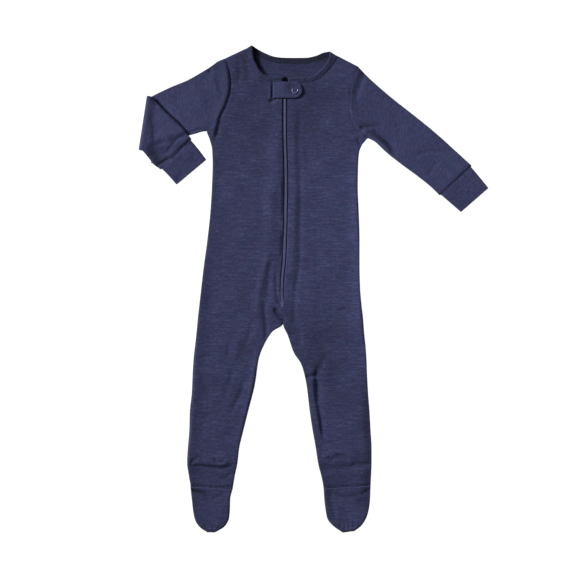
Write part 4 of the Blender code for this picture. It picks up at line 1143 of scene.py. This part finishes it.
def addStitches():
    look = stitching
    rows = {}
    for side in sides:
        zipLine = between(zipEdge(side.front), guardTab.bottom + 1, zipTape.end)
        zipLine = beside(zipLine, side.onto * look["besideZip"])
        neckLine = beside(neckSeam(side.front), side.onto * look["besideNeck"])[2:-4]  # clear of its ends
        ankle = mixed(side.foot.outer[0], side.foot.inner[0], np.linspace(*look["ankle"])[:, None])
        rows["zip_" + side.name] = (zipLine, sewingThread, look["plain"])
        rows["neck_" + side.name] = (neckLine, sewingThread, look["plain"])
        rows["ankle_" + side.name] = (ankle, coverThread, look["cover"])
    for name, (line, thread, sizes) in rows.items():
        onCloth = withHeight(line, plies + lift(line) + look["rise"])
        finishPiece(addRow("stitches_" + name, [onCloth], thread, **sizes), "knit")


footStep = 1.3  # grid spacing of the feet


def overBack(plan, thickness=cloth["ply"]):
    return underFront + thickness / 2 + lift(plan)


def makeFront(side):
    plan = gridBetween(side.front.outer, side.front.inner)
    piece = addPly(f"front_{side.name}", plan, overBack(plan), cloth["ply"], bodyKnit)
    finishPiece(piece, "knit", f"front_panel_{side.name}")
    declareCut(piece, plan)


def makeFoot(side):
    outer, inner = side.foot.outer.copy(), side.foot.inner.copy()
    for edge in (outer, inner):
        edge[0, 1] += cloth["sewn"] - cloth["seamGap"]
    plan = gridBetween(outer, inner, step=footStep)
    piece = addPly(f"foot_{side.name}", plan, overBack(plan), cloth["ply"], bodyKnit)
    finishPiece(piece, "knit", f"foot_upper_{side.name}")
    declareCut(piece, plan)


bindingLook = {  # the folded strip swells behind its free edge and comes down at the shoulder
    "crown": 0.75, "lip": 1.7, "fall": 5.0, "drop": 2.1, "dropLength": 2.5, "step": 1.0,
}


def stripUv(plan):  # courses run across a strip, so its ribs cross it too
    along = lengthAlong(plan[:, plan.shape[1] // 2])[:, None] + 0 * plan[..., 0]
    return np.stack([along, fromEdges(plan)[0]], axis=-1)


def makeBinding(side):
    look = bindingLook
    seam = beside(neckSeam(side.front), -side.onto * cloth["sewn"])
    plan = gridBetween(seam, smoothLine(side.binding.free), bindingThickness / 2, look["step"])
    fromFree = np.linalg.norm(plan - plan[:, -1:], axis=-1)
    crown = look["crown"] * ease(fromFree / look["lip"]) * (1 - ease((fromFree - look["lip"]) / look["fall"]))
    joined = look["drop"] * (1 - ease(lengthAlong(plan[:, -1]) / look["dropLength"]))[:, None]
    middle = overBack(plan, bindingThickness) + crown - joined
    piece = addPly(f"binding_{side.name}", plan, middle, bindingThickness, bindingKnit, stripUv(plan))
    finishPiece(piece, "rib", f"neck_binding_{side.name}")
    declareCut(piece, plan, turnedOver=bindingThickness)


neckHollow = {  # hardly any light gets in under the neck's right edge
    "reach": 9.0, "narrowest": 3.5, "ends": 46,  # its width, down to the narrowest where it ends
    "full": 1.6,  # how much of that width is quite dark
    "fades": 28, "fadeLength": 12, "tone": 0.1,
}


def hollowTone(points):
    look = neckHollow
    down = points[..., 1]
    reach = np.interp(down, [0, look["ends"]], [look["reach"], look["narrowest"]])
    away = distanceTo(points.reshape(-1, 2), [smoothLine(bindingRight.free)]).reshape(down.shape)
    deep = ease(look["full"] * (1 - away / reach)) * (1 - ease((down - look["fades"]) / look["fadeLength"]))
    return 1 - (1 - look["tone"]) * deep


def makeBackBinding():
    plan = gridBetween(smoothLine(bindingBack.seam), smoothLine(bindingBack.free), step=bindingLook["step"])
    middle = np.full(plan.shape[:2], halfPly)
    piece = addPly("binding_back", plan, middle, cloth["ply"], innerBinding, stripUv(plan), hollowTone)
    finishPiece(piece, "rib", "neck_binding_back")
    declareCut(piece, plan, turnedOver=bindingThickness)


backLook = {
    "folds": 0.35, "foldsStart": 8, "foldsBlend": 12, "foldsMoved": (4, 6),  # not right under the front's
    "shoulderRise": 1.1, "shoulderReach": 6.0,  # it comes up to the fronts at the shoulder seams
    "torsoRows": 168, "halfColumns": 50, "legRows": 95,  # its three grids
    "neckMiddle": 4, "crotchGap": 0.6, "hips": 1.5,  # ends of its middle line, and its last row at the hips
    "neckReach": 90, "heelReach": 60,  # how far in its rows bend to follow the neck and the heel
    "legBlend": 0.06,  # share of a leg over which its columns spread out
}
soleLook = {"step": 1.8, "heelReach": 40, "seamPoints": 25}


def backRise(plan):  # the back's own folds, which leave hollows under it
    points = plan.reshape(-1, 2)
    inside = ease((distanceTo(points, closedLines) - backLook["foldsStart"]) / backLook["foldsBlend"])
    folds = np.abs(foldHeight(points + backLook["foldsMoved"]))
    return (backLook["folds"] * folds * inside).reshape(plan.shape[:-1])


def shoulderRise(plan):
    seams = [np.array([side.front.outer[0], side.front.inner[0]]) for side in sides]
    return backLook["shoulderRise"] * (1 - ease(distanceTo(plan, seams) / backLook["shoulderReach"]))


def heelSeam(front, shift=0):
    start, end = (pointAtDown(edge, heel.sides + shift) for edge in (sideSeam(front), insideLeg(front)))
    share = np.linspace(0, 1, soleLook["seamPoints"])[:, None]
    seam = mixed(start, end, share)
    seam[:, 1] -= heel.arch * np.sin(np.pi * share[:, 0])
    return seam


def makeTorso(crotch):  # a half on each side of its middle line
    look = backLook
    edges = []
    for side in sides:
        edge = smoothLine(side.front.outer)
        hip = pointAtDown(edge, crotch[1] + look["hips"])
        edges.append(np.concatenate([edge[edge[:, 1] < hip[1] - 1], [hip]]))
    shares = spreadFrom(max(lengthAlong(edge)[-1] for edge in edges), look["torsoRows"], halfPly)
    lines = [alongLine(edge, shares) for edge in edges]
    middle = sum(lines) / 2
    middle[:, 0] = np.interp(middle[:, 1], [0, crotch[1]], [look["neckMiddle"], crotch[0]])
    middle[-1] = crotch + [0, look["crotchGap"]]
    halves = []
    for line in lines:
        half = spread(np.linalg.norm(line - middle, axis=1), look["halfColumns"], halfPly)
        half = np.concatenate([half[:, :1 - len(edgeSteps)], np.ones((len(line), 1))], axis=1)[..., None]
        halves.append(mixed(line[:, None], middle[:, None], half))
    plan = np.concatenate([halves[0], halves[1][:, ::-1][:, 1:]], axis=1)
    neck = beside(smoothLine(bindingBack.seam), cloth["sewn"])
    shoulders = [side.front.outer[:1] for side in sides]
    plan = bendRow(plan, 0, np.concatenate([shoulders[0], neck, shoulders[1]]), look["neckReach"])
    for corner in (neck[0], neck[-1]):
        plan[0, np.linalg.norm(plan[0] - corner, axis=1).argmin()] = corner
    return plan, halves[0].shape[1] - 1


def makeLeg(front, row):  # carries on from half of the torso's last row, and ends in the heel's seam
    edges = []
    for line, start, gap in ((sideSeam(front), row[0], 1), (insideLeg(front), row[-1], 2)):
        run = between(line, start[1] + gap, heel.sides - 1)
        edges.append(np.concatenate([[start], run, [pointAtDown(line, heel.sides)]]))
    alongLeg = 1 - spreadFrom(lengthAlong(edges[0])[-1], backLook["legRows"], halfPly)[::-1]
    outer, inner = (alongLine(edge, alongLeg) for edge in edges)
    rowShare = np.linalg.norm(row - row[0], axis=1) / np.linalg.norm(row[-1] - row[0])
    settled = spread(np.linalg.norm(outer - inner, axis=1), len(row) - 2 * len(edgeSteps) + 2, halfPly)
    blend = ease(np.linspace(0, 1, len(alongLeg)) / backLook["legBlend"])[:, None]
    leg = mixed(outer[:, None], inner[:, None], mixed(rowShare[None], settled, blend)[..., None])
    leg[0] = row
    return bendRow(leg, -1, heelSeam(front), backLook["heelReach"])


def addBack():  # one closed ply: a torso grid, and a leg grid on each half of its last row
    torso, split = makeTorso(insideLeg(frontRight)[0])
    legs = [makeLeg(frontRight, torso[-1, :split + 1]), makeLeg(frontLeft, torso[-1, split:][::-1])]
    grids = [torso, *legs]
    starts = np.cumsum([0, *(grid[..., 0].size for grid in grids)])
    torsoAt, rightAt, leftAt = (
        start + np.arange(grid[..., 0].size).reshape(grid.shape[:2]) for start, grid in zip(starts, grids)
    )
    rightAt[0] = torsoAt[-1, :split + 1]
    leftAt[0] = torsoAt[-1, split:][::-1]
    plan = np.concatenate([grid.reshape(-1, 2) for grid in grids])
    border = [
        torsoAt[0], torsoAt[:, -1][::-1], leftAt[:, 0], leftAt[-1], leftAt[:, -1],
        rightAt[:, -1], rightAt[-1], rightAt[:, 0], torsoAt[:, 0],
    ]
    away = distanceTo(plan, [plan[line] for line in border])
    onEdge = np.isin(np.arange(len(plan)), np.concatenate(border))
    half = halfPly * rounded(np.where(onEdge, 0, away), halfPly)
    middle = halfPly + backRise(plan) + shoulderRise(plan)
    under = np.where(onEdge, 0, len(plan)) + np.arange(len(plan))
    points = np.concatenate([withHeight(plan, middle + half), withHeight(plan, middle - half)])
    faces = np.concatenate([quads(torsoAt), quads(rightAt), quads(leftAt)[:, ::-1]])
    faces = np.concatenate([faces, under[faces][:, ::-1]])
    used = np.unique(faces)
    renumber = np.zeros(len(points), int)
    renumber[used] = np.arange(len(used))
    uv = points[faces][..., :2]
    piece = addMesh("back", points[used], renumber[faces], uv, bodyKnit, hollowTone(points[used][:, :2]))
    finishPiece(piece, "knit", "back_panel")
    width, length = plan.max(axis=0) - plan.min(axis=0)
    declareSheet(piece, width, length, sum(planArea(grid) for grid in grids))


def makeSole(side):
    shift = cloth["sewn"]
    edges = []
    for line, toe in ((sideSeam(side.front), side.foot.outer), (insideLeg(side.front), side.foot.inner)):
        start = pointAtDown(line, heel.sides + shift)
        leg = between(line, heel.sides + 4, side.foot.outer[0, 1] - 2)
        edges.append(np.concatenate([[start], leg, smoothLine(toe)]))
    plan = gridBetween(*edges, step=soleLook["step"])
    plan = bendRow(plan, 0, heelSeam(side.front, shift), soleLook["heelReach"])
    piece = addPly(f"foot_sole_{side.name}", plan, halfPly + backRise(plan), cloth["ply"], bodyKnit)
    finishPiece(piece, "knit", f"sole_{side.name}")
    declareCut(piece, plan)


sleeveLook = {"armholeFade": 0.45, "step": 1.45, "cuffStep": 1.1}


def makeSleeve(side):
    plan = gridBetween(*sleeves[side.name], step=sleeveLook["step"])
    middle = lengthAlong(plan.mean(axis=1))
    fade = np.clip(1 - middle / middle[-1] / sleeveLook["armholeFade"], 0, 1) ** 1.5
    seam = beside(armhole(side.front), side.onto * cloth["sewn"])
    plan = plan + fade[:, None, None] * bowTo(plan[0], seam)
    piece = addTube(f"sleeve_knit_{side.name}", plan, sleeveKnit, side.folded)
    finishPiece(piece, "knit", f"sleeve_{side.name}")
    declareCut(piece, plan, layers=2)


def makeCuff(side):
    plan = gridBetween(*cuffs[side.name], step=sleeveLook["cuffStep"])
    piece = addTube(f"cuff_rib_{side.name}", plan, cuffKnit, side.folded, fuller=cuff["loft"])
    finishPiece(piece, "rib", f"cuff_{side.name}")
    declareCut(piece, plan, layers=2)


for make in (makeFront, makeFoot, makeBinding):
    for side in sides:
        make(side)
print("fronts, feet and neck made")
makeBackBinding()
addBack()
for side in sides:
    makeSole(side)
print("back and soles made")
for make in (makeSleeve, makeCuff):
    for side in reversed(sides):
        make(side)
print("sleeves made")


tapeGrid = {"columns": 15, "step": 3}


def makeTape():
    down = np.linspace(zipTape.top, zipTape.end, round((zipTape.end - zipTape.top) / tapeGrid["step"]) + 1)
    x = zipMiddle(down)[:, None] + zipTape.halfWidth * np.linspace(-1, 1, tapeGrid["columns"])
    plan = np.stack([x, down[:, None] + 0 * x], axis=-1)
    middle = underFront + lift(plan) - cloth["seamGap"] - zipTape.slack - zipTape.thickness / 2
    piece = addPly("zip_tape_woven", plan, middle, zipTape.thickness, wovenTape)
    finishPiece(piece, "tape", "zip_tape")
    declareCut(piece, plan)


coilLook = {
    "turns": {"Spacing": 1.3, "Along": 0.95, "Across": 3.0, "Up": 0.9, "Turn": 0.18},
    "offset": 0.62, "step": 4,  # each row's distance from the zip's middle, and the steps of its path
}


def makeCoil():
    look = coilLook
    lines = []
    for offset, shift in ((-look["offset"], 0), (look["offset"], look["turns"]["Spacing"] / 2)):
        line = besideZip(offset, zipCoil.top + shift, zipCoil.end, look["step"])
        lines.append(withHeight(line, underFront + lift(line) + zipCoil.rounding + zipCoil.thickness / 2))
    finishPiece(addRow("zip_coil_turns", lines, nylonCoil, **look["turns"]), "tape", "zip_coil")


makeTape()
makeCoil()
addStitches()
print("zip and stitches made")


sliderLook = {
    "shoulder": 0.96, "waist": 0.72,  # its widths at the top and the low end, to the widest
    "squareness": 0.38, "corners": 32,
    "body": ((0, 0.86), (0.35, 1.0)),  # height over its underside, and share of its full size there
    "crown": ((-0.75, 1.0), (-0.3, 0.93), (0, 0.78)),  # the same, from its top
    "sharpFrom": 50,  # degrees between faces whose edge stays sharp
}


def makeSlider():
    s, look = zipSlider, sliderLook
    middle = s.top + s.length / 2
    raised = lift(np.array([[s.x, middle]]))[0]
    bottom, top = underFront + raised + zipCoil.rounding, plies + raised + s.rise
    levels = [(bottom + z, share) for z, share in look["body"]]
    levels += [(top + z, share) for z, share in look["crown"]]
    turn = np.linspace(0, 2 * np.pi, look["corners"] + 1)[:-1]
    way = np.stack([np.cos(turn), np.sin(turn)])
    outlineX, outlineY = np.sign(way) * np.abs(way) ** look["squareness"]
    narrowing = np.interp(outlineY, [-1, 0, 1], [look["shoulder"], 1.0, look["waist"]])
    rings = []
    for z, share in levels:
        x = s.x + outlineX * narrowing * share * s.width / 2
        down = middle + outlineY * (share * 0.5 + 0.5) * s.length / 2
        rings.append(np.stack([x, down, np.full(len(turn), z)], axis=-1))
    piece = addRings("slider_body", rings, False, blackEnamelAndShade)
    piece.data.set_sharp_from_angle(angle=math.radians(look["sharpFrom"]))
    finishPiece(piece, "slider", "zip_slider")


makeSlider()


guardLook = {
    "columns": 38, "rows": 24, "edge": 0.8, "endPoints": 17, "tip": 0.02,  # its grid, round at the free end
    "freeEnd": 0.7, "freeFrom": 4, "freeBlend": 18,  # its free end stands up
    "sliderAcross": 9, "sliderDown": 12,  # how far round the slider it is raised
    "rim": 0.3, "rimAt": 1.6, "rimReach": 3.0,  # the rolled seam inside its edge
    "gathers": 0.12, "gatherCount": 7, "gatherStart": 0.6,  # small pleats round the snap
    "gatherAt": 6.5, "gatherReach": 2.5,
    "dimple": 0.45, "dimpleReach": 7.5, "dome": 0.45, "domeReach": 2.6,  # under the snap, and inside its ring
    "padding": 0.25, "tone": 1.22,
}
snapLook = {
    "tiltAcross": -0.08, "tiltDown": 0.26,  # it sits at a slant, its lower edge up
    "seat": 0.75, "seatReach": 0.8, "over": 0.15,  # where it bears on the guard, and how high over it
    "turns": 40, "profile": 10,
}


def guardFace(plan):
    look = guardLook
    x, down = plan[..., 0], plan[..., 1]
    overSlider = bulge(x - zipSlider.x, look["sliderAcross"]) * bulge(down - guardTab.top, look["sliderDown"])
    freeEnd = look["freeEnd"] * ease((x - look["freeFrom"]) / look["freeBlend"])
    return plies + lift(plan) + cloth["seamGap"] + guardTab.rise * overSlider + freeEnd


def guardGrid():
    look = guardLook
    half = (guardTab.bottom - guardTab.top) / 2
    bend = guardTab.right - half
    straight = spreadFrom(bend - guardTab.left, look["columns"], look["edge"])
    turn = np.linspace(0, np.pi / 2, look["endPoints"])[1:-1]
    x = np.concatenate([mixed(guardTab.left, bend, straight), bend + half * np.sin(turn), [guardTab.right]])
    reach = np.concatenate([np.full(len(straight), half), half * np.cos(turn), [look["tip"] * half]])[:, None]
    shares = spread(2 * half, look["rows"], look["edge"])[0] * 2 - 1
    down = (guardTab.bottom + guardTab.top) / 2 + reach * shares
    return np.stack([x[:, None] + 0 * down, down], axis=-1)


def makeGuard():
    look = guardLook
    plan = guardGrid()
    outline = np.concatenate([plan[:, 0], plan[::-1, -1]])
    edge = distanceTo(plan.reshape(-1, 2), [outline]).reshape(plan.shape[:2])
    across, down = plan[..., 0] - ringSnap.x, plan[..., 1] - ringSnap.down
    fromSnap = np.hypot(across, down)
    height = guardFace(plan) + guardTab.thickness / 2 + look["padding"]
    height += look["rim"] * bulge(edge - look["rimAt"], look["rimReach"])
    gathers = np.sin(look["gatherCount"] * np.arctan2(down, across) + look["gatherStart"])
    height += look["gathers"] * gathers * bulge(fromSnap - look["gatherAt"], look["gatherReach"])
    height += look["dome"] * bulge(fromSnap, look["domeReach"])
    height -= look["dimple"] * bulge(fromSnap, look["dimpleReach"])
    uv = plan[..., ::-1]
    piece = addPly("guard_tab", plan, height, guardTab.thickness, sleeveKnit, uv, lambda points: look["tone"])
    finishPiece(piece, "knit", "zip_guard")
    declareCut(piece, plan)
    bearing = np.abs(fromSnap - ringSnap.radius + snapLook["seat"]) < snapLook["seatReach"]
    return height[bearing].mean() + guardTab.thickness / 2


def makeRingSnap(seat):
    look = snapLook
    way = 2 * np.pi * np.arange(look["profile"]) / look["profile"]
    radius = ringSnap.radius + ringSnap.halfBand * (np.cos(way) - 1)
    rings = []
    for angle in 2 * np.pi * np.arange(look["turns"]) / look["turns"]:
        across, down = radius * np.cos(angle), radius * np.sin(angle)
        z = seat + look["over"] + ringSnap.halfHeight * np.sin(way)
        z += across * look["tiltAcross"] + down * look["tiltDown"]
        rings.append(np.stack([ringSnap.x + across, ringSnap.down + down, z], axis=-1))
    finishPiece(addRings("ring_snap", rings, True, pearlEnamel), "snap", "snap_ring")


makeRingSnap(makeGuard())
print("guard tab and snap made")


light = {
    "lamps": {  # power, height and bearing in degrees, distance, size, the spot it is aimed at
        "key": (420, 30, 155, 5.0, 0.9, (0, 0.1, 0)),
        "fill": (1.6, 70, 20, 1.0, 0.7, (0.18, 0.1, 0)),
    },
    "world": 0.2, "floor": "#404040", "floorGlow": 1.02, "floorReach": 8.0, "floorZ": -0.0002,
}
view = {"lens": 100, "x": -0.0338, "y": -0.00265, "width": 0.8095, "clothTop": 0.004}


def makeFloor():
    reach = light["floorReach"]
    corners = [(x * reach, y * reach, light["floorZ"]) for x, y in ((-1, -1), (1, -1), (1, 1), (-1, 1))]
    mesh = bpy.data.meshes.new("floor")
    mesh.from_pydata(corners, [], [(0, 1, 2, 3)])
    sweep = newMaterial(
        "white studio sweep", Roughness=0.9, Base_Color=linear(light["floor"]),
        Emission_Color=(1, 1, 1, 1), Emission_Strength=light["floorGlow"],
    )
    mesh.materials.append(sweep[0])
    putInScene("floor", mesh)


def makeLight():
    for name, (power, height, bearing, distance, size, aim) in light["lamps"].items():
        softbox = bpy.data.lights.new(name, "AREA")
        softbox.energy = power
        softbox.size = size
        lamp = putInScene(name, softbox)
        lamp.rotation_euler = (0, math.radians(90 - height), math.radians(bearing))
        lamp.location = Vector(aim) + lamp.rotation_euler.to_matrix() @ Vector((0, 0, distance))
    world = bpy.data.worlds.new("studio")
    world.use_nodes = True
    background = world.node_tree.nodes["Background"].inputs
    background["Color"].default_value = (1, 1, 1, 1)
    background["Strength"].default_value = light["world"]
    bpy.context.scene.world = world
    bpy.context.scene.view_settings.view_transform = "Standard"


def makeCamera():
    data = bpy.data.cameras.new("camera")
    data.lens = view["lens"]
    camera = putInScene("camera", data)
    distance = view["width"] * data.lens / data.sensor_width
    camera.location = (view["x"], view["y"], view["clothTop"] + distance)
    bpy.context.scene.camera = camera


makeFloor()
makeLight()
makeCamera()

print("done")
